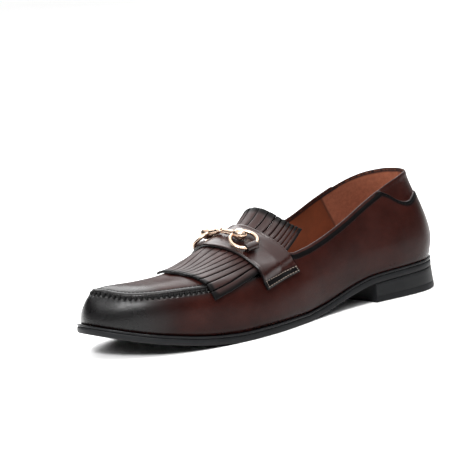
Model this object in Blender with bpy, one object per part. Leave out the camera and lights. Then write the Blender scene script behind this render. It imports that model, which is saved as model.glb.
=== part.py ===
"""Kiltie loafer, left shoe: outsole, heel, hollow upper, insole, fringed tongue, saddle strap and snaffle bit.

Metres, +Z up, floor at zero, +X from heel to toe, +Y to the outer side of the foot.
Lengths in the tables are in millimetres.
"""

import bmesh
import bpy
import numpy as np

MM = 0.001

# Middle of the standing shoe's base, measured from the back of the outsole: it is set at the world's origin
BASE_CENTRE = (146.56, -1.75)

# Driving sizes of the shoe
SOLE_THICK = 6.2
SEAT_GAP = 0.3
WALL = 2.0
INSOLE_THICK = 2.4
INSOLE_GAP = 0.6
LIP_HIGH = 1.5
LIP_OUT = 0.5
HEEL_LONG = 71.0
HEEL_FLARE = 1.6
KILTIE_THICK = 1.5
STRAP_THICK = 1.8
LAY_GAP = 0.6

# Sole outline, a row per section from the toe tip to the back of the heel
OUTLINE_COLUMNS = ("x", "outer_y", "inner_y", "margin")
OUTLINE = [
    (296.0, -7.0, -7.0, 3.0),
    (292.5, 5.5, -20.0, 3.0),
    (283.0, 19.5, -32.0, 2.8),
    (267.0, 33.5, -42.0, 2.5),
    (246.0, 42.8, -49.0, 2.3),
    (222.0, 47.5, -52.5, 2.2),
    (197.0, 49.0, -50.5, 2.2),
    (172.0, 47.0, -44.5, 2.0),
    (148.0, 41.3, -37.0, 1.8),
    (122.0, 34.4, -30.5, 1.5),
    (95.0, 31.2, -28.3, 1.3),
    (68.0, 31.4, -29.8, 1.2),
    (42.0, 32.8, -31.6, 1.2),
    (20.0, 29.5, -29.0, 1.2),
    (5.5, 17.5, -17.5, 1.2),
    (0.0, 0.0, 0.0, 1.2),
]

# Height of the underside of the outsole along the shoe
SOLE_COLUMNS = ("x", "under_z")
SOLE_LINE = [
    (0.0, 16.3),
    (40.0, 15.2),
    (72.0, 13.4),
    (90.0, 9.8),
    (105.0, 5.8),
    (122.0, 2.0),
    (142.0, 0.0),
    (200.0, 0.0),
    (220.0, 1.2),
    (235.0, 3.0),
    (250.0, 5.6),
    (270.0, 9.7),
    (285.0, 13.9),
    (296.0, 17.4),
]

# Wall of the upper at each section: the apron seam, or the fullest point behind it. On the inner side
# the seam lies further in and lower, and the apron leaves it flatter
WALL_COLUMNS = ("flare", "seam_in", "seam_up", "seam_lean", "inner_in", "inner_down", "inner_lean")
WALLS = [
    (6.0, 8.0, 20.0, 48.0, 0.0, 0.0, 48.0),
    (6.0, 7.6, 20.2, 48.0, 1.0, 0.2, 52.0),
    (6.0, 6.0, 21.4, 48.0, 2.6, 0.8, 60.0),
    (6.0, 4.2, 24.4, 46.0, 1.8, 2.0, 68.0),
    (7.0, 3.2, 28.2, 44.0, 0.7, 3.2, 74.0),
    (8.0, 4.0, 31.0, 42.0, 0.0, 5.0, 74.0),
    (10.0, 6.4, 34.0, 40.0, 0.0, 3.2, 62.0),
    (12.0, 6.4, 34.0, 36.0, 0.0, 1.0, 42.0),
    (16.0, -0.6, 26.0, 18.0, 0.0, 0.0, 18.0),
    (24.0, -3.6, 22.0, 5.0, 0.0, 0.0, 5.0),
    (26.0, -4.0, 22.0, 3.0, 0.0, 0.0, 3.0),
    (20.0, -3.4, 20.0, 6.0, 0.0, 0.0, 6.0),
    (14.0, -2.6, 20.0, 6.0, 0.0, 0.0, 6.0),
    (12.0, -2.4, 19.0, 6.0, 0.0, 0.0, 6.0),
    (12.0, -2.4, 17.0, 6.0, 0.0, 0.0, 6.0),
    (12.0, -2.4, 16.0, 5.0, 0.0, 0.0, 5.0),
]

# Crest of the vamp at each section, and of the instep form behind the throat
CREST_COLUMNS = ("x", "y", "z")
CREST = [
    (264.0, -6.0, 45.4),
    (262.4, -6.0, 45.3),
    (257.0, -6.0, 44.9),
    (247.0, -6.0, 44.1),
    (232.0, -5.4, 43.9),
    (213.0, -4.0, 47.0),
    (191.0, -1.5, 56.2),
    (168.0, 1.0, 64.6),
    (150.0, 1.5, 70.6),
    (130.0, 1.5, 76.5),
    (108.0, 1.5, 82.0),
]
THROAT_SECTION = 7.0

# Top edge of the upper, from the throat round to the back of the heel
TOPLINE_COLUMNS = ("section", "x", "outer_y", "inner_y", "z", "lean")
TOPLINE = [
    (7.0, 168.0, 1.0, 1.0, 64.6, 90.0),
    (7.3, 165.5, 12.5, -10.5, 62.4, 74.0),
    (7.6, 160.0, 23.5, -21.5, 57.0, 56.0),
    (8.0, 149.5, 32.3, -30.5, 49.6, 36.0),
    (8.5, 136.5, 33.4, -31.8, 50.0, 24.0),
    (9.0, 123.5, 32.4, -31.0, 52.8, 18.0),
    (10.0, 97.5, 30.0, -28.5, 61.3, 15.0),
    (11.0, 72.5, 27.8, -27.0, 72.0, 15.0),
    (12.0, 50.0, 25.2, -25.0, 80.2, 14.0),
    (13.0, 32.0, 21.5, -21.5, 84.6, 13.0),
    (14.0, 18.0, 13.0, -13.0, 86.4, 14.0),
    (15.0, 13.5, 0.0, 0.0, 86.8, 12.0),
]
LAST_SECTION = 15.0

# Scalloped edge of the collar panel, as a drop below the top edge
COLLAR_COLUMNS = ("section", "drop")
COLLAR = [
    (11.3, -4.0),
    (11.7, 1.0),
    (12.4, 10.5),
    (13.2, 18.5),
    (14.0, 20.5),
    (14.6, 19.0),
    (15.0, 18.0),
]
COLLAR_STEP = 1.0
STRIP_TOP_DROP = 6.0
STRIP_THICK = 1.0

# Raised roll of the apron, by distance inward of its seam
ROLL_COLUMNS = ("inward", "height")
ROLL = [
    (-2.2, 0.0),
    (-0.6, 0.1),
    (0.0, -0.35),
    (0.9, 0.85),
    (2.3, 1.15),
    (3.6, 0.7),
    (4.6, 0.0),
]

# Sections at which the upper has a rib
RIB_SECTIONS = [
    0.0, 0.5, 1.0, 1.5, 2.0, 2.5, 3.0, 3.5, 4.0, 4.5, 5.0, 5.5, 6.0, 6.5,
    7.0, 7.2, 7.4, 7.6, 7.8, 8.0, 8.25, 8.5, 9.0, 9.5, 10.0, 10.5, 11.0,
    11.4, 11.8, 12.4, 12.9, 13.4, 14.0, 14.36, 14.72, 15.0,
]
WALL_ROWS = [0.0, 0.17, 0.36, 0.55, 0.74, 0.88, 1.0]
SEAM_ROWS = [0.9, 2.3, 3.8]
CROWN_ROWS = [0.0, 0.17, 0.36, 0.55, 0.75, 0.9, 1.0]


# Axis that the instep form is measured round, with angles from upright towards the outer side
FORM_Y = 0.0
FORM_Z = 24.0

# Tongue with a fringe at both ends: side edges as angles round the form
KILTIE_COLUMNS = ("x", "outer_deg", "inner_deg")
KILTIE = [
    (130.0, 34.0, -33.0),
    (140.0, 42.0, -38.0),
    (151.0, 51.0, -46.0),
    (170.0, 60.0, -54.0),
    (189.0, 68.5, -58.0),
    (205.0, 74.5, -57.0),
    (226.0, 80.5, -54.0),
]
KILTIE_FRONT = 224.5
KILTIE_REAR = 146.0
FRONT_SWEEP = 5.0
REAR_SWEEP = 12.5
SLIT_UNDER = 3.0
STRIPS = 13
SLIT_WIDE = 0.45
TIP_LIFT = 0.7
REAR_LIFT = 6.0

# Saddle strap, by share of the way from its middle to either end
STRAP_COLUMNS = ("share", "front_x", "rear_x")
STRAP = [
    (0.0, 191.0, 163.5),
    (0.25, 189.6, 160.2),
    (0.5, 187.4, 155.6),
    (0.75, 184.6, 150.6),
    (1.0, 180.3, 146.0),
]
STRAP_FRONT_DEG = 82.0
STRAP_REAR_DEG = 72.0

# Snaffle bit
RING_RADIUS = 9.3
RING_WIRE = 1.3
RING_X = 177.0
RING_DEG = 30.0
RING_CLEAR = 2.9
RING_TILT = 1.0
EYE_RADIUS = 1.6
EYE_WIRE = 0.6
BAR_CLEAR = 0.3
BAR_LIFT = 3.3
LOOP_WIDE = 9.0
LOOP_THICK = 0.9
BAR_COLUMNS = ("share", "radius")
BAR = [
    (0.0, 0.75),
    (0.1, 1.25),
    (0.3, 1.15),
    (0.5, 1.4),
    (0.62, 1.7),
    (0.7, 2.5),
    (0.82, 3.1),
    (0.93, 2.9),
    (1.02, 1.9),
    (1.06, 0.5),
]

COLLECTION = "kiltie_loafer"


def column(rows, names, name):
    return np.array([row[names.index(name)] for row in rows], float)


def hermite(values, slopes, knots, at):
    """Cubic pieces through values at knots, with the given slopes."""
    at = np.clip(np.asarray(at, float), knots[0], knots[-1])
    left = np.clip(np.searchsorted(knots, at, side="right") - 1, 0, len(knots) - 2)
    width = knots[left + 1] - knots[left]
    f = (at - knots[left]) / width
    return (
        values[left] * (1 + 2 * f) * (1 - f) ** 2
        + slopes[left] * width * f * (1 - f) ** 2
        + values[left + 1] * f * f * (3 - 2 * f)
        - slopes[left + 1] * width * f * f * (1 - f)
    )


def smooth(values, knots, at):
    """Smooth curve through the rows."""
    return hermite(values, np.gradient(values, knots), knots, at)


def steady(values, knots, at):
    """Smooth curve through the rows that stays level between equal ones."""
    steps = np.diff(values) / np.diff(knots)
    slopes = np.zeros(len(values))
    slopes[0], slopes[-1] = steps[0], steps[-1]
    same = steps[:-1] * steps[1:] > 0
    product = 2 * steps[:-1] * steps[1:]
    total = np.where(same, steps[:-1] + steps[1:], 1.0)
    slopes[1:-1] = np.where(same, product / total, 0.0)
    return hermite(values, slopes, knots, at)


def unit(vectors):
    return vectors / np.maximum(np.linalg.norm(vectors, axis=-1, keepdims=True), 1e-12)


def by_section(rows, names, name, sections):
    """A column of a table that has a row for each whole section."""
    return smooth(column(rows, names, name), np.arange(len(rows), dtype=float), sections)


def under_z(x):
    knots = column(SOLE_LINE, SOLE_COLUMNS, "x")
    return steady(column(SOLE_LINE, SOLE_COLUMNS, "under_z"), knots, x)


def sole_top_z(x):
    return under_z(x) + SOLE_THICK


def outline_curve(sections, side):
    """Point, inward normal and rearward way of the sole outline, for side 1 (outer) or -1 (inner)."""
    outer = np.stack([column(OUTLINE, OUTLINE_COLUMNS, name) for name in ("x", "outer_y")], axis=-1)
    inner = np.stack([column(OUTLINE, OUTLINE_COLUMNS, name) for name in ("x", "inner_y")], axis=-1)
    points = np.concatenate([outer, inner[-2:0:-1]])
    count = len(points)
    at = np.mod(np.asarray(sections, float) * side, count)
    left = np.floor(at).astype(int) % count
    f = (at - np.floor(at))[:, None]
    start, end = points[left], points[(left + 1) % count]
    leaving = (end - points[(left - 1) % count]) / 2
    arriving = (points[(left + 2) % count] - start) / 2
    place = (
        start * (1 + 2 * f) * (1 - f) ** 2
        + leaving * f * (1 - f) ** 2
        + end * f * f * (3 - 2 * f)
        - arriving * f * f * (1 - f)
    )
    along = unit(
        (6 * f * f - 6 * f) * (start - end)
        + (3 * f * f - 4 * f + 1) * leaving
        + (3 * f * f - 2 * f) * arriving
    )
    inward = np.stack([-along[:, 1], along[:, 0]], axis=-1)
    return place, inward, along * side


def edge_points(sections, side, inset, z):
    """Points of the sole outline moved inward by inset, at height z, which may depend on x."""
    place, inward, _ = outline_curve(sections, side)
    flat = place + inward * np.reshape(inset, (-1, 1))
    height = z(flat[:, 0]) if callable(z) else np.full(len(flat), float(z))
    return np.column_stack([flat, height])


def full_loop(sections, inset, z):
    """Closed loop: the outer side from first to last section, then the inner side back."""
    inset = np.broadcast_to(np.asarray(inset, float), (len(sections),))
    outer = edge_points(sections, 1, inset, z)
    inner = edge_points(sections, -1, inset, z)[::-1]
    first = 1 if sections[-1] == LAST_SECTION else 0
    last = len(inner) - 1 if sections[0] == 0.0 else len(inner)
    return np.concatenate([outer, inner[first:last]])


def margin(sections):
    return by_section(OUTLINE, OUTLINE_COLUMNS, "margin", sections)


def crest(sections):
    return np.stack([by_section(CREST, CREST_COLUMNS, name, sections) for name in CREST_COLUMNS], axis=-1)


def topline(sections, side):
    knots = column(TOPLINE, TOPLINE_COLUMNS, "section")
    names = ("x", "outer_y" if side > 0 else "inner_y", "z")
    return np.stack([smooth(column(TOPLINE, TOPLINE_COLUMNS, name), knots, sections) for name in names], axis=-1)


def bend(start, end, leaving, arriving, f):
    """Cubic from start to end, f along it, with the given unit ways at its ends."""
    span = np.linalg.norm(end - start, axis=-1, keepdims=True)
    f = np.clip(f, 0, 1)[..., None]
    start, end = start[:, None], end[:, None]
    leaving, arriving = (leaving * span)[:, None], (arriving * span)[:, None]
    return (
        start * (1 + 2 * f) * (1 - f) ** 2
        + leaving * f * (1 - f) ** 2
        + end * f * f * (3 - 2 * f)
        - arriving * f * f * (1 - f)
    )


def tilt(inward, along, drift, degrees):
    """Unit way that leans inward by degrees from upright, drifting along the edge."""
    lean = np.radians(degrees)[:, None]
    flat = inward * np.sin(lean) + along * drift * np.cos(lean)
    return unit(np.column_stack([flat, np.cos(lean)]))


def rib_ends(sections, side):
    """Points that each rib of the upper runs through, with the ways in and out: foot, seam, top and crest."""
    sections = np.asarray(sections, float)
    place, inward, along = outline_curve(sections, side)
    flat = place + inward * margin(sections)[:, None]
    foot = np.column_stack([flat, sole_top_z(flat[:, 0]) + SEAT_GAP])
    peak = crest(np.minimum(sections, len(CREST) - 1.0))
    top = np.where((sections <= THROAT_SECTION)[:, None], peak, topline(sections, side))
    wall = {name: by_section(WALLS, WALL_COLUMNS, name, sections) for name in WALL_COLUMNS}
    rise = (top - foot)[:, 2:]
    drift = np.sum((top - foot)[:, :2] * along, axis=-1, keepdims=True) / rise
    inner = 1.0 if side < 0 else 0.0
    seam = foot.copy()
    seam_in = wall["seam_in"] + inner * wall["inner_in"]
    seam_up = wall["seam_up"] - inner * wall["inner_down"]
    seam[:, :2] += inward * seam_in[:, None] + along * drift * seam_up[:, None]
    seam[:, 2] += seam_up
    middle = np.clip(sections, 0.02, len(CREST) - 1.02)
    step = crest(middle + 0.02) - crest(middle - 0.02)
    slope = (step[:, 2] / step[:, 0])[:, None]
    across = unit((peak - foot)[:, :2])
    over = unit(np.column_stack([across, slope * across[:, :1]]))
    lean = smooth(
        column(TOPLINE, TOPLINE_COLUMNS, "lean"), column(TOPLINE, TOPLINE_COLUMNS, "section"), sections
    )
    share = np.clip(sections - THROAT_SECTION, 0, 1)[:, None]
    edge = tilt(unit(across * (1 - share) + inward * share), along, drift, np.clip(lean, 0, 90))
    edge[:, 2:] += slope * edge[:, :1] * (1 - share)
    edge = np.where(sections[:, None] <= THROAT_SECTION, over, unit(edge))
    wall_foot = tilt(-inward, along, drift, wall["flare"])
    wall_top = tilt(inward, along, drift, wall["seam_lean"])
    apron = tilt(inward, along, drift, wall["inner_lean"]) if side < 0 else wall_top
    return {
        "foot": (foot, wall_foot, wall_foot),
        "seam": (seam, wall_top, apron),
        "top": (top, edge, edge),
        "crest": (peak, over, over),
    }


def skin(sections, side, rows):
    """Points of the upper's outer form: rows 0 to 1 foot to seam, 1 to 2 seam to top, 2 to 3 top to crest."""
    ends = rib_ends(sections, side)
    rows = np.broadcast_to(rows, (len(sections), np.shape(rows)[-1]))
    order = ("foot", "seam", "top", "crest")
    points = np.zeros(rows.shape + (3,))
    for number, (low, high) in enumerate(zip(order[:-1], order[1:])):
        part = bend(ends[low][0], ends[high][0], ends[low][2], ends[high][1], rows - number)
        within = (rows >= number) if number else (rows > -1)
        points = np.where(within[..., None], part, points)
    return points


def crown_rows(sections, side):
    """Rows of the upper between seam and top, close together beside the seam."""
    ends = rib_ends(sections, side)
    length = np.linalg.norm(ends["top"][0] - ends["seam"][0], axis=-1)[:, None]
    near = np.array(SEAM_ROWS)[None] / length
    spread = near[:, -1:] + (1 - near[:, -1:]) * np.array(CROWN_ROWS[1:])[None]
    return 1 + np.concatenate([near, spread], axis=1)


def normals_of(points, faces):
    """Unit normal at each point, from the faces round it."""
    total = np.zeros(points.shape)
    faces = np.array(faces)
    first = np.cross(points[faces[:, 1]] - points[faces[:, 0]], points[faces[:, 2]] - points[faces[:, 0]])
    second = np.cross(points[faces[:, 2]] - points[faces[:, 0]], points[faces[:, 3]] - points[faces[:, 0]])
    for corner in range(4):
        np.add.at(total, faces[:, corner], first + second)
    return unit(total)


def upper_grid(sections):
    """The upper's outer skin as points and faces, with the number of each grid point for both sides."""
    rows = {}
    for side in (1, -1):
        wall = np.broadcast_to(np.array(WALL_ROWS), (len(sections), len(WALL_ROWS)))
        rows[side] = np.concatenate([wall, crown_rows(sections, side)], axis=1)
    count = rows[1].shape[1]
    outer = skin(sections, 1, rows[1])
    inner = skin(sections, -1, rows[-1])
    number = {1: np.arange(len(sections) * count).reshape(len(sections), count)}
    number[-1] = number[1] + len(sections) * count
    shared = np.zeros((len(sections), count), bool)
    shared[[0, -1]] = True
    shared[np.array(sections) <= THROAT_SECTION, -1] = True
    number[-1] = np.where(shared, number[1], number[-1])
    points = np.concatenate([outer.reshape(-1, 3), inner.reshape(-1, 3)])
    faces = []
    for side in (1, -1):
        grid = number[side]
        quads = np.stack([grid[:-1, :-1], grid[1:, :-1], grid[1:, 1:], grid[:-1, 1:]], axis=-1).reshape(-1, 4)
        faces.extend((quads if side > 0 else quads[:, ::-1]).tolist())
    return points, faces, number, rows


def seam_distance(points, number):
    """Distance of each grid point from the apron seam, inward positive."""
    seam = len(WALL_ROWS) - 1
    distance = np.zeros(len(points))
    for side in (1, -1):
        grid = points[number[side]]
        steps = np.linalg.norm(np.diff(grid, axis=1), axis=-1)
        total = np.concatenate([np.zeros((len(grid), 1)), np.cumsum(steps, axis=1)], axis=1)
        distance[number[side].ravel()] = (total - total[:, seam : seam + 1]).ravel()
    return distance


def ease(value, low, high):
    """0 below low and 1 above high, with a soft step between."""
    f = np.clip((value - low) / (high - low), 0, 1)
    return f * f * (3 - 2 * f)


def collar_drop(sections):
    return smooth(column(COLLAR, COLLAR_COLUMNS, "drop"), column(COLLAR, COLLAR_COLUMNS, "section"), sections)


def raised(sections, distance, drop):
    """Height of the upper's relief: the apron roll, and the collar panel set in below the quarters."""
    roll = smooth(column(ROLL, ROLL_COLUMNS, "height"), column(ROLL, ROLL_COLUMNS, "inward"), distance)
    roll = roll * (1 - ease(sections, 6.9, 7.4))
    return roll - COLLAR_STEP * ease(collar_drop(sections) - drop, -0.8, 0.8)


def upper_skins():
    """Outer and inner skin of the upper with the same faces."""
    points, faces, number, _ = upper_grid(np.array(RIB_SECTIONS))
    normals = normals_of(points, faces)
    section, drop = np.zeros(len(points)), np.zeros(len(points))
    for side in (-1, 1):
        grid = number[side]
        section[grid] = np.array(RIB_SECTIONS)[:, None]
        drop[grid] = points[grid[:, -1:], 2] - points[grid, 2]
    relief = raised(section, seam_distance(points, number), drop)
    outer = points + normals * relief[:, None]
    inner = points - normals * WALL
    foot = np.unique(np.concatenate([number[1][:, 0], number[-1][:, 0]]))
    inner[foot, 2] = outer[foot, 2]
    return outer, inner, faces, number, normals


def used_only(outer, inner, faces):
    """The same skins without points that no face holds."""
    faces = np.array(faces)
    kept, places = np.unique(faces, return_inverse=True)
    return outer[kept], inner[kept], places.reshape(faces.shape)


def thicken(outer, inner, faces):
    """Closed solid between two skins that share their faces."""
    outer, inner, faces = used_only(outer, inner, faces)
    count = len(outer)
    quads = [[corner for corner in face] for face in faces.tolist()]
    ways = {(face[i], face[(i + 1) % len(face)]) for face in quads for i in range(len(face))}
    rim = sorted(way for way in ways if (way[1], way[0]) not in ways)
    solid = quads + [[corner + count for corner in face[::-1]] for face in quads]
    solid += [[end, start, start + count, end + count] for start, end in rim]
    return np.concatenate([outer, inner]), solid


def stack(loops, pairs):
    """Closed solid through level loops, with its two ends closed across by the paired points."""
    levels, count = len(loops), len(loops[0])
    points = np.concatenate(loops)
    faces = []
    for level in range(levels - 1):
        for i in range(count):
            j = (i + 1) % count
            base = level * count
            faces.append([base + i, base + j, base + count + j, base + count + i])
    for (a, b), (c, d) in zip(pairs[:-1], pairs[1:]):
        across = [a, c, d, b]
        across = [corner for i, corner in enumerate(across) if corner not in across[:i]]
        faces.append([corner for corner in across[::-1]])
        faces.append([corner + (levels - 1) * count for corner in across])
    return points, faces


def loop_pairs(sections):
    """Numbers of the outer and inner point of each section in full_loop."""
    count = len(sections)
    closed_front = sections[0] == 0.0
    closed_back = sections[-1] == LAST_SECTION
    total = 2 * count - int(closed_front) - int(closed_back)
    pairs = []
    for i in range(count):
        inner = (total - i) % total if closed_front else total - 1 - i
        pairs.append((i, i if closed_back and i == count - 1 else inner))
    return pairs


def make_solid(name, points, faces, material):
    mesh = bpy.data.meshes.new(name)
    placed = (np.asarray(points, float) - (BASE_CENTRE[0], BASE_CENTRE[1], 0.0)) * MM
    mesh.from_pydata(placed.tolist(), [], [list(face) for face in faces])
    work = bmesh.new()
    work.from_mesh(mesh)
    bmesh.ops.recalc_face_normals(work, faces=work.faces)
    bmesh.ops.triangulate(work, faces=work.faces)
    work.to_mesh(mesh)
    work.free()
    mesh.materials.append(material)
    part = bpy.data.objects.new(name, mesh)
    bpy.data.collections[COLLECTION].objects.link(part)
    return part


def make_material(name, colour, roughness, metallic=0.0):
    material = bpy.data.materials.new(name)
    material.use_nodes = True
    shader = material.node_tree.nodes["Principled BSDF"]
    shader.inputs["Base Color"].default_value = (*colour, 1.0)
    shader.inputs["Roughness"].default_value = roughness
    shader.inputs["Metallic"].default_value = metallic
    material.diffuse_color = (*colour, 1.0)
    return material


def sole_sections(first, last, extra=()):
    steps = np.arange(first, last + 1e-6, 0.5)
    return np.unique(np.round(np.concatenate([steps, np.array(extra, float), [first, last]]), 4))


def make_outsole(material):
    sections = sole_sections(0.0, LAST_SECTION, (0.25, 14.25, 14.75))
    groove = SOLE_THICK - LIP_HIGH
    levels = [
        (0.9, 0.0),
        (0.15, 0.8),
        (0.0, 1.8),
        (0.2, groove - 0.7),
        (0.9, groove - 0.1),
        (LIP_OUT, groove + 0.1),
        (0.0, groove + 0.5),
        (0.1, SOLE_THICK - 0.3),
        (0.6, SOLE_THICK),
    ]
    loops = [full_loop(sections, inset, lambda x, up=up: under_z(x) + up) for inset, up in levels]
    points, faces = stack(loops, loop_pairs(sections))
    return make_solid("outsole", points, faces, material)


def make_heel(material):
    x = column(OUTLINE, OUTLINE_COLUMNS, "x")
    breast = float(np.interp(HEEL_LONG, x[::-1], np.arange(len(x))[::-1]))
    sections = sole_sections(breast, LAST_SECTION, (11.25, 11.75, 14.25, 14.75))
    back = ease(sections, 12.0, 14.5)
    levels = [(0.0, 0.7, 1.0), (0.05, 0.1, 1.0), (0.5, 0.1, 0.45), (0.95, 0.1, 0.1), (1.0, 0.3, 0.1)]
    loops = []
    for height, inset, flare in levels:
        out = inset - HEEL_FLARE * flare * back
        loops.append(full_loop(sections, out, lambda x, f=height: f * (under_z(x) - SEAT_GAP)))
    points, faces = stack(loops, loop_pairs(sections))
    return make_solid("heel", points, faces, material)


def make_upper(material):
    outer, inner, faces, _, _ = upper_skins()
    points, solid = thicken(outer, inner, faces)
    return make_solid("upper", points, solid, material)


def make_back_strip(material):
    outer, _, _, number, normals = upper_skins()
    drop = outer[number[1][-1, -1], 2] - outer[number[1][-1], 2]
    rows = np.flatnonzero((drop > STRIP_TOP_DROP) & (drop < 62.0))
    ribs = np.array([number[1][-2], number[1][-1], number[-1][-2]])[:, rows]
    points = outer[ribs].reshape(-1, 3)
    out = normals[ribs].reshape(-1, 3)
    grid = np.arange(points.shape[0]).reshape(ribs.shape)
    faces = np.stack([grid[:-1, :-1], grid[1:, :-1], grid[1:, 1:], grid[:-1, 1:]], axis=-1).reshape(-1, 4)
    points, solid = thicken(points + out * (LAY_GAP + STRIP_THICK), points + out * LAY_GAP, faces)
    return make_solid("back_strip", points, solid, material)


def make_insole(material):
    sections = sole_sections(0.0, LAST_SECTION, (14.5,))
    inset = margin(sections) + WALL + INSOLE_GAP
    low = SEAT_GAP
    levels = [(0.0, low), (0.0, low + INSOLE_THICK - 0.5), (0.5, low + INSOLE_THICK)]
    loops = [full_loop(sections, inset + more, lambda x, up=up: sole_top_z(x) + up) for more, up in levels]
    points, faces = stack(loops, loop_pairs(sections))
    return make_solid("insole", points, faces, material)


def drawn_tight(y, z):
    """The points of an arch that leather drawn over it touches, from the inner side to the outer."""
    order = np.argsort(np.arctan2(y, z))
    kept = []
    for point in np.stack([y, z], axis=1)[order]:
        while len(kept) > 1:
            before, last = kept[-1] - kept[-2], point - kept[-1]
            if before[0] * last[1] - before[1] * last[0] < 0:
                break
            kept.pop()
        kept.append(point)
    return np.array(kept).T


def form_table():
    """Radius of the instep form round its axis, on a grid of x and angle."""
    sections = np.linspace(3.4, 9.7, 127)
    rows = np.linspace(0.25, 3.0, 111)
    xs = np.arange(128.0, 232.1, 1.0)
    angles = np.arange(-96.0, 96.1, 1.0)
    sides = []
    for side in (1, -1):
        points = skin(sections, side, rows)
        steps = np.linalg.norm(np.diff(points, axis=1), axis=-1)
        total = np.concatenate([np.zeros((len(points), 1)), np.cumsum(steps, axis=1)], axis=1)
        inward = total - total[:, np.searchsorted(rows, 1.0), None]
        sides.append((points[::-1], np.maximum(raised(sections[:, None], inward, 1e3), 0)[::-1]))
    radius = np.zeros((len(xs), len(angles)))
    for i, x in enumerate(xs):
        y, z = [], []
        for points, relief in sides:
            for row in range(len(rows)):
                along = points[:, row, 0]
                arm = np.array([np.interp(x, along, points[:, row, axis]) for axis in (1, 2)])
                arm -= (FORM_Y, FORM_Z)
                arm *= 1 + np.interp(x, along, relief[:, row]) / np.hypot(*arm)
                y.append(arm[0])
                z.append(arm[1])
        y, z = drawn_tight(np.array(y), np.array(z))
        radius[i] = polar_radius(angles, y, z)
    return xs, angles, radius


def polar_radius(angles, y, z):
    """Distance from the axis, at each angle, of the straight-sided line through the points."""
    fine = np.linspace(0, 1, 9)[:-1]
    ys = (y[:-1, None] + np.diff(y)[:, None] * fine).ravel()
    zs = (z[:-1, None] + np.diff(z)[:, None] * fine).ravel()
    ys, zs = np.append(ys, y[-1]), np.append(zs, z[-1])
    return np.interp(angles, np.degrees(np.arctan2(ys, zs)), np.hypot(ys, zs))


def between(table, x, degrees):
    """Radius of the form at x and angle, read between the grid's points."""
    xs, angles, radius = table
    i = np.clip((x - xs[0]) / (xs[1] - xs[0]), 0, len(xs) - 1.001)
    j = np.clip((degrees - angles[0]) / (angles[1] - angles[0]), 0, len(angles) - 1.001)
    a, b = np.floor(i).astype(int), np.floor(j).astype(int)
    f, g = i - a, j - b
    low = radius[a, b] * (1 - g) + radius[a, b + 1] * g
    high = radius[a + 1, b] * (1 - g) + radius[a + 1, b + 1] * g
    return low * (1 - f) + high * f


def form_point(table, x, degrees):
    r = between(table, x, degrees)
    turn = np.radians(degrees)
    return np.stack([x, FORM_Y + r * np.sin(turn), FORM_Z + r * np.cos(turn)], axis=-1)


def form_normal(table, x, degrees):
    ahead = form_point(table, x + 1.5, degrees) - form_point(table, x - 1.5, degrees)
    round_it = form_point(table, x, degrees + 1.5) - form_point(table, x, degrees - 1.5)
    return unit(np.cross(ahead, round_it))


def on_form(table, x, degrees, lift):
    """Point at a height above the instep form."""
    x, degrees = np.broadcast_arrays(np.asarray(x, float), np.asarray(degrees, float))
    lift = np.broadcast_to(lift, x.shape)[..., None]
    return form_point(table, x, degrees) + form_normal(table, x, degrees) * lift


def kiltie_edges(x):
    knots = column(KILTIE, KILTIE_COLUMNS, "x")
    return [smooth(column(KILTIE, KILTIE_COLUMNS, name), knots, x) for name in ("outer_deg", "inner_deg")]


def strap_edges(degrees):
    """x of the strap's front and rear edge at an angle round the form."""
    knots = column(STRAP, STRAP_COLUMNS, "share")
    front = smooth(column(STRAP, STRAP_COLUMNS, "front_x"), knots, np.abs(degrees) / STRAP_FRONT_DEG)
    rear = smooth(column(STRAP, STRAP_COLUMNS, "rear_x"), knots, np.abs(degrees) / STRAP_REAR_DEG)
    return front, rear


def kiltie_degrees(across, x):
    outer, inner = kiltie_edges(x)
    return np.where(across > 0, across * outer, -across * inner)


def kiltie_place(table, across, x, height):
    """Point of the tongue at across (-1 inner edge to 1 outer edge) and x, at a height above its underside."""
    degrees = kiltie_degrees(across, x)
    front, rear = strap_edges(degrees)
    behind = np.clip((rear - x) / (STRAP[0][2] - KILTIE_REAR), 0, 2)
    ahead = np.clip((x - front) / (KILTIE_FRONT - front), 0, 1)
    lift = LAY_GAP + REAR_LIFT * behind ** 1.4 * (1 - 0.6 * across ** 2) + TIP_LIFT * ahead ** 2
    return on_form(table, x, degrees, lift + height)


def kiltie_grid():
    """Across and x of each grid point of the tongue, and which of its cells are leather and not slit."""
    half_angle = 65.0
    half_slit = SLIT_WIDE / 2 / (np.radians(half_angle) * 40.0)
    cuts = np.linspace(-1, 1, STRIPS + 1)
    across, open_cells = [-1.0], []
    for number, cut in enumerate(cuts[1:]):
        if number < 2 or number > STRIPS - 3:
            across.append(cut - 1.0 / STRIPS)
        if number < STRIPS - 1:
            open_cells.append(len(across))
            across += [cut - half_slit, cut + half_slit]
    across = np.array(across + [1.0])
    front = KILTIE_FRONT - FRONT_SWEEP * np.clip(-across, 0, 1) ** 1.5
    rear = KILTIE_REAR - REAR_SWEEP * across ** 2
    front_root = strap_edges(kiltie_degrees(across, 186.0))[0] - SLIT_UNDER
    rear_root = strap_edges(kiltie_degrees(across, 155.0))[1] + SLIT_UNDER
    lines = [front + (front_root - front) * share for share in np.linspace(0, 1, 8)]
    lines += [front_root + (rear_root - front_root) * share for share in np.linspace(0, 1, 6)[1:]]
    lines += [rear_root + (rear - rear_root) * share for share in np.linspace(0, 1, 6)[1:]]
    x = np.stack(lines, axis=1)
    leather = np.ones((len(across) - 1, x.shape[1] - 1), bool)
    leather[open_cells, :7] = False
    leather[open_cells, 12:] = False
    return np.repeat(across[:, None], x.shape[1], axis=1), x, leather


def grid_faces(shape, kept=None):
    number = np.arange(shape[0] * shape[1]).reshape(shape)
    faces = np.stack([number[:-1, :-1], number[1:, :-1], number[1:, 1:], number[:-1, 1:]], axis=-1)
    return faces.reshape(-1, 4) if kept is None else faces[kept]


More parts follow.
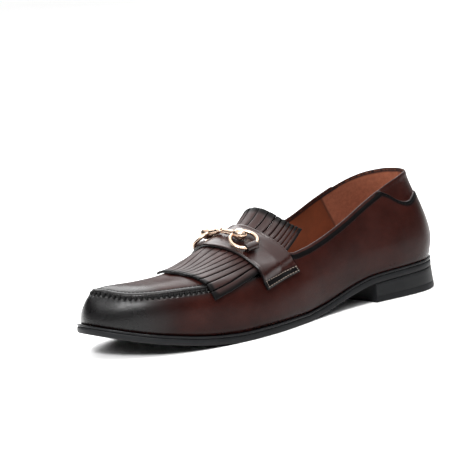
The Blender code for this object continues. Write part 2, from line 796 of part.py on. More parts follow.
def make_kiltie(table, material):
    across, x, leather = kiltie_grid()
    top = kiltie_place(table, across, x, KILTIE_THICK)
    under = kiltie_place(table, across, x, 0.0)
    faces = grid_faces(across.shape, leather)
    points, solid = thicken(top.reshape(-1, 3), under.reshape(-1, 3), faces)
    return make_solid("kiltie_tongue", points, solid, material)


def strap_place(share, back):
    """x and angle of the strap at share of the way to an end and back from its front edge."""
    knots = column(STRAP, STRAP_COLUMNS, "share")
    front = smooth(column(STRAP, STRAP_COLUMNS, "front_x"), knots, np.abs(share))
    rear = smooth(column(STRAP, STRAP_COLUMNS, "rear_x"), knots, np.abs(share))
    degrees = share * (STRAP_FRONT_DEG * (1 - back) + STRAP_REAR_DEG * back)
    return front * (1 - back) + rear * back, degrees


def strap_lift(x, degrees):
    """Height of the strap's underside: over the tongue, and down to the upper outside it."""
    outer, inner = kiltie_edges(x)
    beyond = np.where(degrees > 0, degrees - outer, inner - degrees)
    over = 2 * LAY_GAP + KILTIE_THICK
    return over - (over - LAY_GAP) * ease(beyond, 3.5, 12.5)


def make_strap(table, material):
    share, back = np.meshgrid(np.linspace(-1, 1, 33), np.linspace(0, 1, 5), indexing="ij")
    x, degrees = strap_place(share, back)
    lift = strap_lift(x, degrees)
    under = on_form(table, x, degrees, lift).reshape(-1, 3)
    top = on_form(table, x, degrees, lift + STRAP_THICK).reshape(-1, 3)
    points, solid = thicken(top, under, grid_faces(share.shape))
    return make_solid("saddle_strap", points, solid, material)


def frame_at(table, x, degrees, side, tilt_deg=0.0):
    """Ways of the strap's surface at a point: towards the toe, down to its end, and outward."""
    out = form_normal(table, np.array(x), np.array(degrees * side))
    ahead = form_point(table, np.array(x + 1.0), np.array(degrees * side))
    ahead = unit(ahead - form_point(table, np.array(x - 1.0), np.array(degrees * side)))
    down = unit(np.cross(ahead, out)) * -side
    turn = np.radians(tilt_deg)
    out, down = out * np.cos(turn) + down * np.sin(turn), down * np.cos(turn) - out * np.sin(turn)
    return ahead, down, out


def ring_frame(table, side):
    centre = on_form(
        table, RING_X, RING_DEG * side, 2 * LAY_GAP + KILTIE_THICK + STRAP_THICK + RING_CLEAR
    )
    return centre, frame_at(table, RING_X, RING_DEG, side, RING_TILT)


def torus_points(centre, first, second, radius, wire, around, about):
    """Points round a ring in the plane of two ways, with the section's circle at each."""
    third = np.cross(first, second)
    turns = np.radians(np.arange(around) * 360.0 / around)
    circle = np.radians(np.arange(about) * 360.0 / about)
    points = []
    for turn in turns:
        way = first * np.cos(turn) + second * np.sin(turn)
        for angle in circle:
            points.append(centre + way * (radius + wire * np.cos(angle)) + third * wire * np.sin(angle))
    return np.array(points)


def torus_faces(around, about):
    faces = []
    for i in range(around):
        for j in range(about):
            k, m = (i + 1) % around, (j + 1) % about
            faces.append([i * about + j, k * about + j, k * about + m, i * about + m])
    return faces


def make_ring(name, table, side, material):
    centre, (ahead, down, _) = ring_frame(table, side)
    points = torus_points(centre, down, ahead, RING_RADIUS, RING_WIRE, 26, 8)
    return make_solid(name, points, torus_faces(26, 8), material)


def make_hidden(part):
    """Keeps a cutting shape out of the object."""
    bpy.data.collections[COLLECTION].objects.unlink(part)
    bpy.data.collections["helpers"].objects.link(part)
    part.hide_render = True
    part.display_type = "WIRE"
    return part


def boolean(part, other, operation):
    step = part.modifiers.new(operation.lower() + "_" + other.name, "BOOLEAN")
    step.operation = operation
    step.solver = "EXACT"
    step.object = other
    return part


def link_middle(table):
    return on_form(table, RING_X + 1.0, 1.0, 2 * LAY_GAP + KILTIE_THICK + STRAP_THICK + BAR_LIFT)


def make_bar(name, table, side, material):
    """Half of the bit: a turned bar with an egg round the ring and an eye at the middle."""
    middle = link_middle(table)
    centre, (ahead, down, out) = ring_frame(table, side)
    egg = centre - down * (RING_RADIUS - 0.6)
    level = np.array([0.0, float(side), 0.0])
    axis = unit(egg - middle)
    eye = middle + level * (EYE_RADIUS / 2)
    start = middle + axis * (1.5 * EYE_RADIUS)
    reach = np.linalg.norm(egg - start) / column(BAR, BAR_COLUMNS, "share")[6]
    first = unit(np.cross(axis, np.array([1.0, 0.0, 0.0])))
    second = np.cross(axis, first)
    about = 12
    shares = np.linspace(0, column(BAR, BAR_COLUMNS, "share")[-1], 15)
    radii = smooth(column(BAR, BAR_COLUMNS, "radius"), column(BAR, BAR_COLUMNS, "share"), shares)
    points = [start - axis * 0.1]
    for share, radius in zip(shares, radii):
        for turn in np.radians(np.arange(about) * 360.0 / about):
            points.append(start + axis * share * reach + radius * (first * np.cos(turn) + second * np.sin(turn)))
    points.append(start + axis * (shares[-1] * reach + 0.1))
    faces = []
    for j in range(about):
        faces.append([0, 1 + (j + 1) % about, 1 + j])
        last = 1 + (len(shares) - 1) * about
        faces.append([len(points) - 1, last + j, last + (j + 1) % about])
        for i in range(len(shares) - 1):
            a = 1 + i * about
            faces.append([a + j, a + (j + 1) % about, a + about + (j + 1) % about, a + about + j])
    bar = make_solid(name, np.array(points), faces, material)
    across = np.array([1.0, 0.0, 0.0])
    upright = np.array([0.0, 0.0, 1.0]) if side > 0 else across
    ring = torus_points(eye, level, upright, EYE_RADIUS, EYE_WIRE, 14, 8)
    boolean(bar, make_hidden(make_solid(name + "_eye", ring, torus_faces(14, 8), material)), "UNION")
    hole = torus_points(centre, down, ahead, RING_RADIUS, RING_WIRE + BAR_CLEAR, 32, 8)
    boolean(bar, make_hidden(make_solid(name + "_hole", hole, torus_faces(32, 8), material)), "DIFFERENCE")
    return bar


def make_ring_loop(name, table, side, material):
    """Leather loop round the far side of a ring."""
    centre, (ahead, down, out) = ring_frame(table, side)
    reach = RING_RADIUS - np.sqrt(RING_RADIUS ** 2 - (LOOP_WIDE / 2) ** 2)
    half = reach / 2
    hold = centre + down * (RING_RADIUS - half)
    rings = []
    for radius in (RING_WIRE + BAR_CLEAR + LOOP_THICK, RING_WIRE + BAR_CLEAR):
        section = []
        for turn in np.radians(np.arange(-90.0, 91.0, 22.5)):
            section.append((half + radius * np.cos(turn), radius * np.sin(turn)))
        for turn in np.radians(np.arange(90.0, 271.0, 22.5)):
            section.append((-half + radius * np.cos(turn), radius * np.sin(turn)))
        rings.append(section)
    points = []
    for shift in (-LOOP_WIDE / 2, LOOP_WIDE / 2):
        for section in rings:
            points += [hold + ahead * shift + down * a + out * b for a, b in section]
    count = len(rings[0])
    faces = []
    for j in range(count):
        k = (j + 1) % count
        outer, inner, far_outer, far_inner = (np.array([j, k]) + count * n for n in range(4))
        faces.append([outer[0], outer[1], far_outer[1], far_outer[0]])
        faces.append([inner[1], inner[0], far_inner[0], far_inner[1]])
        faces.append([outer[1], outer[0], inner[0], inner[1]])
        faces.append([far_outer[0], far_outer[1], far_inner[1], far_inner[0]])
    return make_solid(name, np.array(points), faces, material)


def clear_scene():
    for thing in list(bpy.data.objects):
        bpy.data.objects.remove(thing)


def main():
    clear_scene()
    for name in (COLLECTION, "helpers"):
        group = bpy.data.collections.new(name)
        bpy.context.scene.collection.children.link(group)
    leather = make_material("brown_leather", (0.075, 0.022, 0.016), 0.38)
    lining = make_material("tan_lining", (0.36, 0.12, 0.045), 0.7)
    black = make_material("black_sole", (0.012, 0.012, 0.013), 0.45)
    metal = make_material("pale_gold_metal", (0.85, 0.62, 0.44), 0.2, 1.0)
    make_outsole(black)
    make_heel(black)
    make_upper(leather)
    make_back_strip(leather)
    make_insole(lining)
    table = form_table()
    make_kiltie(table, leather)
    make_strap(table, leather)
    for side, word in ((1, "outer"), (-1, "inner")):
        make_ring("bit_ring_" + word, table, side, metal)
        make_bar("bit_bar_" + word, table, side, metal)
        make_ring_loop("ring_loop_" + word, table, side, leather)


main()
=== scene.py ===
import math

import bmesh
import bpy
import numpy as np
from mathutils import Matrix, Vector


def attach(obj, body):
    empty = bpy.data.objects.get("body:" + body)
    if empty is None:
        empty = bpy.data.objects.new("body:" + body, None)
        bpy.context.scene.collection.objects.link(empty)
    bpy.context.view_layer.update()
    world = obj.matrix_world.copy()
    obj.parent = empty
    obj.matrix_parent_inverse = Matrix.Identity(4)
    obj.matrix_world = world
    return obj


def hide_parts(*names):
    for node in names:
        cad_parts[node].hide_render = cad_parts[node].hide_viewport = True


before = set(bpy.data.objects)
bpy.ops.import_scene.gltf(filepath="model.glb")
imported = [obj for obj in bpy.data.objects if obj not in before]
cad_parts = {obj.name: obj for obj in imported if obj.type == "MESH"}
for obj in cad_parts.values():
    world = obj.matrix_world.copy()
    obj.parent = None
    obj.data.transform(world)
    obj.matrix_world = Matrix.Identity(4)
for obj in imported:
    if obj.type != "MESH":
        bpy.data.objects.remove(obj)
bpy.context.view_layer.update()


def columns(names, rows):
    """Columns of a table, by name."""
    return dict(zip(names, np.array(rows, float).T.copy()))


# Looks of the left kiltie loafer. Lengths in the tables are in millimetres, measured from the back of
# the outsole, with +X to the toe and +Y to the outer side, as in the solids.
MM = 0.001
BASE_CENTRE = (146.56, -1.75)

# Camera: where it looks, from which side, and the photograph's scale there
LOOK_AT = (150.0, 0.0, 35.0)
VIEW_TURN = 38.116
VIEW_RISE = 10.025
VIEW_ROLL = 5.0
VIEW_FAR = 1676.4
PIXELS_PER_MM = 1.43691
IMAGE_SIZE = 474
LOOK_AT_PIXEL = (259.4, 270.3)
SENSOR = 36.0

# Driving sizes of the shoe
SOLE_THICK = 6.2
SEAT_GAP = 0.3
WALL = 2.0
LIP_HIGH = 1.5
HEEL_LONG = 71.0
HEEL_FLARE = 1.6
KILTIE_THICK = 1.5
KILTIE_EDGE = 0.35
STRAP_THICK = 1.8
STRIP_THICK = 1.0
STRIP_HALF = 5.9
LAY_GAP = 0.6

# Sole outline, a row per section from the toe tip to the back of the heel
OUTLINE = columns(("x", "outer_y", "inner_y", "margin"), [
    (296.0, -7.0, -7.0, 3.0),
    (292.5, 5.5, -20.0, 3.0),
    (283.0, 19.5, -32.0, 2.8),
    (267.0, 33.5, -42.0, 2.5),
    (246.0, 42.8, -49.0, 2.3),
    (222.0, 47.5, -52.5, 2.2),
    (197.0, 49.0, -50.5, 2.2),
    (172.0, 47.0, -44.5, 2.0),
    (148.0, 41.3, -37.0, 1.8),
    (122.0, 34.4, -30.5, 1.5),
    (95.0, 31.2, -28.3, 1.3),
    (68.0, 31.4, -29.8, 1.2),
    (42.0, 32.8, -31.6, 1.2),
    (20.0, 29.5, -29.0, 1.2),
    (5.5, 17.5, -17.5, 1.2),
    (0.0, 0.0, 0.0, 1.2),
])
LAST_SECTION = 15.0

# Height of the underside of the outsole along the shoe
SOLE_LINE = columns(("x", "under_z"), [
    (0.0, 16.3),
    (40.0, 15.2),
    (72.0, 13.4),
    (90.0, 9.8),
    (105.0, 5.8),
    (122.0, 2.0),
    (142.0, 0.0),
    (200.0, 0.0),
    (220.0, 1.2),
    (235.0, 3.0),
    (250.0, 5.6),
    (270.0, 9.7),
    (285.0, 13.9),
    (296.0, 17.4),
])

# Wall of the upper at each section: the apron seam, or the fullest point behind it. On the inner side
# the seam lies further in and lower, and the apron leaves it flatter
WALLS = columns(("flare", "seam_in", "seam_up", "seam_lean", "inner_in", "inner_down", "inner_lean"), [
    (6.0, 8.0, 20.0, 48.0, 0.0, 0.0, 48.0),
    (6.0, 7.6, 20.2, 48.0, 1.0, 0.2, 52.0),
    (6.0, 6.0, 21.4, 48.0, 2.6, 0.8, 60.0),
    (6.0, 4.2, 24.4, 46.0, 1.8, 2.0, 68.0),
    (7.0, 3.2, 28.2, 44.0, 0.7, 3.2, 74.0),
    (8.0, 4.0, 31.0, 42.0, 0.0, 5.0, 74.0),
    (10.0, 6.4, 34.0, 40.0, 0.0, 3.2, 62.0),
    (12.0, 6.4, 34.0, 36.0, 0.0, 1.0, 42.0),
    (16.0, -0.6, 26.0, 18.0, 0.0, 0.0, 18.0),
    (24.0, -3.6, 22.0, 5.0, 0.0, 0.0, 5.0),
    (26.0, -4.0, 22.0, 3.0, 0.0, 0.0, 3.0),
    (20.0, -3.4, 20.0, 6.0, 0.0, 0.0, 6.0),
    (14.0, -2.6, 20.0, 6.0, 0.0, 0.0, 6.0),
    (12.0, -2.4, 19.0, 6.0, 0.0, 0.0, 6.0),
    (12.0, -2.4, 17.0, 6.0, 0.0, 0.0, 6.0),
    (12.0, -2.4, 16.0, 5.0, 0.0, 0.0, 5.0),
])

# Crest of the vamp at each section, and of the instep form behind the throat
CREST = columns(("x", "y", "z"), [
    (264.0, -6.0, 45.4),
    (262.4, -6.0, 45.3),
    (257.0, -6.0, 44.9),
    (247.0, -6.0, 44.1),
    (232.0, -5.4, 43.9),
    (213.0, -4.0, 47.0),
    (191.0, -1.5, 56.2),
    (168.0, 1.0, 64.6),
    (150.0, 1.5, 70.6),
    (130.0, 1.5, 76.5),
    (108.0, 1.5, 82.0),
])
LAST_CREST = 10.0
THROAT_SECTION = 7.0

# Top edge of the upper, from the throat round to the back of the heel
TOPLINE = columns(("section", "x", "outer_y", "inner_y", "z", "lean"), [
    (7.0, 168.0, 1.0, 1.0, 64.6, 90.0),
    (7.3, 165.5, 12.5, -10.5, 62.4, 74.0),
    (7.6, 160.0, 23.5, -21.5, 57.0, 56.0),
    (8.0, 149.5, 32.3, -30.5, 49.6, 36.0),
    (8.5, 136.5, 33.4, -31.8, 50.0, 24.0),
    (9.0, 123.5, 32.4, -31.0, 52.8, 18.0),
    (10.0, 97.5, 30.0, -28.5, 61.3, 15.0),
    (11.0, 72.5, 27.8, -27.0, 72.0, 15.0),
    (12.0, 50.0, 25.2, -25.0, 80.2, 14.0),
    (13.0, 32.0, 21.5, -21.5, 84.6, 13.0),
    (14.0, 18.0, 13.0, -13.0, 86.4, 14.0),
    (15.0, 13.5, 0.0, 0.0, 86.8, 12.0),
])

# Scalloped edge of the collar panel, as a drop below the top edge
COLLAR = columns(("section", "drop"), [
    (11.3, -4.0),
    (11.7, 0.8),
    (12.0, 6.0),
    (12.3, 12.3),
    (12.6, 16.2),
    (12.9, 17.6),
    (13.2, 16.8),
    (13.6, 15.5),
    (14.1, 15.8),
    (15.0, 17.0),
])
COLLAR_STEP = 1.0

# Relief of the apron, by distance inward of its seam
ROLL = columns(("inward", "height"), [
    (-3.2, 0.0),
    (-1.6, 0.12),
    (-0.7, 0.18),
    (0.0, -0.75),
    (0.55, 0.35),
    (1.3, 1.0),
    (2.6, 1.2),
    (4.0, 0.75),
    (4.9, 0.05),
    (5.3, -0.12),
    (5.9, 0.0),
])
PUCKER_PITCH = 3.8
PUCKER_HIGH = 0.42
PUCKER_FROM_TO = (-1.35, 0.75)
PUCKERS_END = 5.2

# Threads: form from end to end, and length and radius of each kind
THREAD_RINGS = columns(("share", "radius"), [
    (-1.0, 0.25),
    (-0.86, 0.75),
    (-0.5, 1.0),
    (0.5, 1.0),
    (0.86, 0.75),
    (1.0, 0.25),
])
THREAD_SIDES = 6
THREAD_FLAT = 0.75
PUCKER_THREAD = (3.1, 0.95)
APRON_THREAD = (2.1, 0.34)
EDGE_THREAD = (1.5, 0.2)
STRAP_THREAD = (1.9, 0.32)
STRAP_SIDE_THREAD = (1.2, 0.3)

# Stitch lines of the upper, with the sections where the top line starts and ends and the scallop's line
# starts, and the number of the seam's row in the fine surface
INNER_STITCH_AT = 5.2
INNER_STITCH_PITCH = 3.1
TOP_BAND = 4.4
TOP_STITCH_PITCH = 2.3
TOP_STITCH_SECTIONS = (7.7, 11.75, 11.9)
SCALLOP_STITCH_AT = -1.9
STITCH_FREE_BACK = 7.0
SEAM_ROW = 20

# Distance in the charts where a line is out of reach
FAR_AWAY = 99.0

# Axis that the instep form is measured round
FORM_Y = 0.0
FORM_Z = 24.0

# Tongue with a fringe at both ends: side edges as angles round the form
KILTIE = columns(("x", "outer_deg", "inner_deg"), [
    (130.0, 34.0, -33.0),
    (140.0, 42.0, -38.0),
    (151.0, 51.0, -46.0),
    (170.0, 60.0, -54.0),
    (189.0, 68.5, -58.0),
    (205.0, 74.5, -57.0),
    (226.0, 80.5, -54.0),
])
KILTIE_FRONT = 224.5
KILTIE_REAR = 146.0
FRONT_SWEEP = 5.0
REAR_SWEEP = 12.5
FRONT_BULGE = 4.5
BULGE_AT = 0.62
BULGE_WIDE = 0.3
SLIT_UNDER = 3.0
STRIPS = 13
SLIT_WIDE = 0.45
KILTIE_HALF_DEG = 65.0
FRINGE_MIDDLE_X = 214.0
UNDER_RADIUS = 40.0
TOP_RADIUS = 42.0
REAR_LIFT = 6.0

# Saddle strap, by share of the way from its middle to either end
STRAP = columns(("share", "front_x", "rear_x"), [
    (0.0, 191.0, 163.5),
    (0.25, 189.6, 160.2),
    (0.5, 187.4, 155.6),
    (0.75, 184.6, 150.6),
    (1.0, 180.3, 146.0),
])
STRAP_FRONT_DEG = 82.0
STRAP_REAR_DEG = 72.0
STRAP_HALF_LONG = 62.0
STRAP_FRONT_NEAR = 186.0
STRAP_REAR_NEAR = 155.0
STRAP_WIDE = 28.0
STRAP_WIDER = 6.0
STRAP_BAND = 6.0

# Snaffle bit
SIDES = ((1, "outer"), (-1, "inner"))
RING_RADIUS = 9.3
RING_WIRE = 1.3
RING_X = 177.0
RING_DEG = 30.0
RING_CLEAR = 2.9
RING_TILT = 1.0
EGG_IN = 5.4
EGG_OUT = 1.3
EGG_SHARE = 0.78
EYE_RADIUS = 1.6
EYE_WIRE = 0.6
BAR_LIFT = 3.3
BAR_SIDES = 28
RING_STEPS = (96, 20)
EYE_STEPS = (40, 12)
LOOP_WIDE = 9.0
LOOP_GAP = 0.3
LOOP_THICK = 0.9
BAR = columns(("share", "radius"), [
    (0.0, 1.1),
    (0.08, 1.9),
    (0.22, 1.9),
    (0.42, 2.1),
    (0.55, 2.5),
    (0.64, 3.4),
    (0.78, 4.1),
    (0.92, 3.7),
    (1.04, 2.3),
    (1.1, 0.5),
])

# Studio: floor, the glow of its walls by height, and the even light from above
FLOOR_HALF = 14.0
GLOW = {"From Min": 0.0, "From Max": 0.75, "To Min": 0.16, "To Max": 0.68}
EVEN_STRENGTH = 3.5
EVEN_SPREAD = 120.0

# Small soft boxes at a place in metres, for the highlights on the strap and on the toe's shoulder
KEY_PLACE = (0.16, 0.32, 1.02)
KEY_POWER = 5.0
KEY_COLOUR = (1.0, 0.98, 0.95)
TOE_LIGHT_PLACE = (0.78, 0.34, 0.68)
TOE_LIGHT_POWER = 9.0

# Colours, linear
BROWN = (0.0148, 0.0031, 0.0022)
BROWN_LIGHT = (0.026, 0.0063, 0.0046)
BLACK = (0.0030, 0.0028, 0.0030)
TAN = (0.22, 0.055, 0.019)
TAN_SUEDE = (0.36, 0.115, 0.058)
SOLE_BLACK = (0.0080, 0.0085, 0.0095)
GOLD = (0.62, 0.46, 0.35)
THREAD_BLACK = (0.006, 0.006, 0.006)
THREAD_GREY = (0.16, 0.13, 0.11)
# Near-black tone painted on the underside of the tongue and strap as their shade
UNDERSIDE_SHADE = 0.95


def cubic(start, end, leaving, arriving, f):
    """Cubic from start to end at share f of the way, with the given slopes at its ends."""
    return (
        start * (1 + 2 * f) * (1 - f) ** 2
        + leaving * f * (1 - f) ** 2
        + end * f * f * (3 - 2 * f)
        - arriving * f * f * (1 - f)
    )


def hermite(values, slopes, knots, at):
    """Cubic pieces through values at knots, with the given slopes."""
    at = np.clip(np.asarray(at, float), knots[0], knots[-1])
    left = np.clip(np.searchsorted(knots, at, side="right") - 1, 0, len(knots) - 2)
    width = knots[left + 1] - knots[left]
    f = (at - knots[left]) / width
    return cubic(values[left], values[left + 1], slopes[left] * width, slopes[left + 1] * width, f)


def smooth(values, knots, at):
    """Smooth curve through the rows."""
    return hermite(values, np.gradient(values, knots), knots, at)


def read(table, name, at):
    """A table's column at values of its first column."""
    return smooth(table[name], next(iter(table.values())), at)


def steady(values, knots, at):
    """Smooth curve through the rows that stays level between equal ones."""
    steps = np.diff(values) / np.diff(knots)
    slopes = np.zeros(len(values))
    slopes[0], slopes[-1] = steps[0], steps[-1]
    same = steps[:-1] * steps[1:] > 0
    total = np.where(same, steps[:-1] + steps[1:], 1.0)
    slopes[1:-1] = np.where(same, 2 * steps[:-1] * steps[1:] / total, 0.0)
    return hermite(values, slopes, knots, at)


def unit(vectors):
    return vectors / np.maximum(np.linalg.norm(vectors, axis=-1, keepdims=True), 1e-12)


def ease(value, low, high):
    """0 below low and 1 above high, with a soft step between."""
    f = np.clip((value - low) / (high - low), 0, 1)
    return f * f * (3 - 2 * f)


def by_section(values, sections):
    """Smooth curve through a column that has a value for each whole section."""
    return smooth(values, np.arange(len(values), dtype=float), sections)


def under_z(x):
    return steady(SOLE_LINE["under_z"], SOLE_LINE["x"], x)


def outline_curve(sections, side):
    """Point, inward normal and rearward way of the sole outline, for side 1 (outer) or -1 (inner)."""
    outer, inner = (np.stack([OUTLINE["x"], OUTLINE[name]], axis=-1) for name in ("outer_y", "inner_y"))
    points = np.concatenate([outer, inner[-2:0:-1]])
    count = len(points)
    at = np.mod(np.asarray(sections, float) * side, count)
    left = np.floor(at).astype(int) % count
    f = (at - np.floor(at))[:, None]
    start, end = points[left], points[(left + 1) % count]
    leaving = (end - points[(left - 1) % count]) / 2
    arriving = (points[(left + 2) % count] - start) / 2
    place = cubic(start, end, leaving, arriving, f)
    along = unit(
        (6 * f * f - 6 * f) * (start - end)
        + (3 * f * f - 4 * f + 1) * leaving
        + (3 * f * f - 2 * f) * arriving
    )
    inward = np.stack([-along[:, 1], along[:, 0]], axis=-1)
    return place, inward, along * side


def full_loop(sections, inset, rise):
    """Closed loop round the sole, moved inward by inset and up by rise from the underside."""
    sides = []
    for side in (1, -1):
        place, inward, _ = outline_curve(sections, side)
        flat = place + inward * np.reshape(inset, (-1, 1))
        sides.append(np.column_stack([flat, under_z(flat[:, 0]) + rise]))
    first = 1 if sections[-1] == LAST_SECTION else 0
    last = len(sections) - 1 if sections[0] == 0.0 else len(sections)
    return np.concatenate([sides[0], sides[1][::-1][first:last]])


def crest(sections):
    return np.stack([by_section(values, sections) for values in CREST.values()], axis=-1)


def topline(sections, side):
    names = ("x", "outer_y" if side > 0 else "inner_y", "z")
    return np.stack([read(TOPLINE, name, sections) for name in names], axis=-1)


def bend(start, end, leaving, arriving, f):
    """Cubic from start to end, f along it, with the given unit ways at its ends."""
    span = np.linalg.norm(end - start, axis=-1, keepdims=True)
    f = np.clip(f, 0, 1)[..., None]
    return cubic(start[:, None], end[:, None], (leaving * span)[:, None], (arriving * span)[:, None], f)


def tilt(inward, along, drift, degrees):
    """Unit way that leans inward by degrees from upright, drifting along the edge."""
    lean = np.radians(degrees)[:, None]
    flat = inward * np.sin(lean) + along * drift * np.cos(lean)
    return unit(np.column_stack([flat, np.cos(lean)]))


def rib_ends(sections, side):
    """Points that each rib of the upper runs through, with the ways in and out: foot, seam, top and crest."""
    place, inward, along = outline_curve(sections, side)
    margin = by_section(OUTLINE["margin"], sections)
    flat = place + inward * margin[:, None]
    foot = np.column_stack([flat, under_z(flat[:, 0]) + SOLE_THICK + SEAT_GAP])
    peak = crest(np.minimum(sections, LAST_CREST))
    top = np.where((sections <= THROAT_SECTION)[:, None], peak, topline(sections, side))
    wall = {name: by_section(values, sections) for name, values in WALLS.items()}
    rise = (top - foot)[:, 2:]
    drift = np.sum((top - foot)[:, :2] * along, axis=-1, keepdims=True) / rise
    inner = 1.0 if side < 0 else 0.0
    seam = foot.copy()
    seam_in = wall["seam_in"] + inner * wall["inner_in"]
    seam_up = wall["seam_up"] - inner * wall["inner_down"]
    seam[:, :2] += inward * seam_in[:, None] + along * drift * seam_up[:, None]
    seam[:, 2] += seam_up
    middle = np.clip(sections, 0.02, LAST_CREST - 0.02)
    step = crest(middle + 0.02) - crest(middle - 0.02)
    slope = (step[:, 2] / step[:, 0])[:, None]
    across = unit((peak - foot)[:, :2])
    over = unit(np.column_stack([across, slope * across[:, :1]]))
    lean = read(TOPLINE, "lean", sections)
    share = np.clip(sections - THROAT_SECTION, 0, 1)[:, None]
    edge = tilt(unit(across * (1 - share) + inward * share), along, drift, np.clip(lean, 0, 90))
    edge[:, 2:] += slope * edge[:, :1] * (1 - share)
    edge = np.where(sections[:, None] <= THROAT_SECTION, over, unit(edge))
    wall_foot = tilt(-inward, along, drift, wall["flare"])
    wall_top = tilt(inward, along, drift, wall["seam_lean"])
    apron = tilt(inward, along, drift, wall["inner_lean"]) if side < 0 else wall_top
    return {
        "foot": (foot, wall_foot, wall_foot),
        "seam": (seam, wall_top, apron),
        "top": (top, edge, edge),
        "crest": (peak, over, over),
    }


def skin(sections, side, rows):
    """Points of the upper's outer form: rows 0 to 1 foot to seam, 1 to 2 seam to top, 2 to 3 top to crest."""
    ends = rib_ends(sections, side)
    rows = np.broadcast_to(rows, (len(sections), np.shape(rows)[-1]))
    order = ("foot", "seam", "top", "crest")
    points = np.zeros(rows.shape + (3,))
    for number, (low, high) in enumerate(zip(order[:-1], order[1:])):
        part = bend(ends[low][0], ends[high][0], ends[low][2], ends[high][1], rows - number)
        within = (rows >= number) if number else (rows > -1)
        points = np.where(within[..., None], part, points)
    return points


def run_along(points):
    """Length from the first point along each row of points."""
    steps = np.linalg.norm(np.diff(points, axis=-2), axis=-1)
    start = np.zeros(steps.shape[:-1] + (1,))
    return np.concatenate([start, np.cumsum(steps, axis=-1)], axis=-1)


def collar_drop(sections):
    return read(COLLAR, "drop", sections)


def roll_height(sections, inward):
    roll = read(ROLL, "height", inward)
    return roll * (1 - ease(sections, 6.9, 7.4))


def quads_of(shape, start=0):
    number = np.arange(shape[0] * shape[1]).reshape(shape) + start
    faces = np.stack([number[:-1, :-1], number[1:, :-1], number[1:, 1:], number[:-1, 1:]], axis=-1)
    return faces.reshape(-1, 4)


def tube_faces(levels, count):
    """Faces between closed loops of count points, one after the other."""
    number = np.arange(levels * count).reshape(levels, count)
    beside = np.roll(number, -1, axis=1)
    return np.stack([number[:-1], beside[:-1], beside[1:], number[1:]], axis=-1).reshape(-1, 4).tolist()


def surface_normals(points, faces):
    """Unit normal at each point, with points in the same place sharing one."""
    _, same = np.unique(np.round(points, 4), axis=0, return_inverse=True)
    same = same.reshape(-1)
    total = np.zeros((same.max() + 1, 3))
    flat = np.cross(points[faces[:, 2]] - points[faces[:, 0]], points[faces[:, 3]] - points[faces[:, 1]])
    for corner in range(4):
        np.add.at(total, same[faces[:, corner]], flat)
    return unit(total)[same]


def put_in_scene(name, data):
    thing = bpy.data.objects.new(name, data)
    bpy.context.scene.collection.objects.link(thing)
    return thing


def add_piece(name, points, faces, materials, face_material=None, charts=None, sharp=None, replaces=()):
    """A shaded piece from points in the shoe's millimetres, riding on the shoe."""
    mesh = bpy.data.meshes.new(name)
    placed = (np.asarray(points, float) - (BASE_CENTRE[0], BASE_CENTRE[1], 0.0)) * MM
    mesh.from_pydata(placed.tolist(), [], [list(map(int, face)) for face in faces])
    for material in materials:
        mesh.materials.append(material)
    if face_material is not None:
        mesh.polygons.foreach_set("material_index", np.asarray(face_material, np.int32))
    for key, values in (charts or {}).items():
        chart = mesh.attributes.new(key, "FLOAT_VECTOR", "POINT")
        chart.data.foreach_set("vector", np.asarray(values, np.float32).ravel())
    work = bmesh.new()
    work.from_mesh(mesh)
    bmesh.ops.remove_doubles(work, verts=work.verts, dist=1e-7)
    bmesh.ops.recalc_face_normals(work, faces=work.faces)
    work.to_mesh(mesh)
    work.free()
    mesh.polygons.foreach_set("use_smooth", np.ones(len(mesh.polygons), bool))
    if sharp:
        mesh.set_sharp_from_angle(angle=math.radians(sharp))
    mesh.update()
    piece = put_in_scene(name, mesh)
    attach(piece, "root")
    if replaces:
        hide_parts(*replaces)


def thicken(top, under, faces):
    """Closed solid between two sheets with the same faces."""
    used, places = np.unique(faces, return_inverse=True)
    faces = places.reshape(faces.shape)
    count = len(used)
    ways = np.concatenate([faces[:, [i, (i + 1) % 4]] for i in range(4)])
    known = set(map(tuple, ways.tolist()))
    rim = [way for way in known if (way[1], way[0]) not in known]
    sides = [[end, start, start + count, end + count] for start, end in sorted(rim)]
    solid = faces.tolist() + (faces[:, ::-1] + count).tolist() + sides
    return used, np.concatenate([top[used], under[used]]), solid


def add_sheet(name, top, under, faces, dark, leather, sharp, replaced, underside_shade=None):
    """Leather sheet between two surfaces, with how black it is at each point, and on its underside the
    painted shade where one is given.
    """
    used, points, solid = thicken(top.reshape(-1, 3), under.reshape(-1, 3), faces)
    dark = dark.reshape(-1)[used]
    below = dark if underside_shade is None else np.full(len(used), underside_shade)
    marks = np.zeros((2 * len(used), 3))
    marks[:, 0] = np.concatenate([dark, below])
    add_piece(name, points, solid, [leather], charts={"shade": marks}, sharp=sharp,
              replaces=(replaced,))


def dimmed(colour, share):
    return tuple(share * value for value in colour)


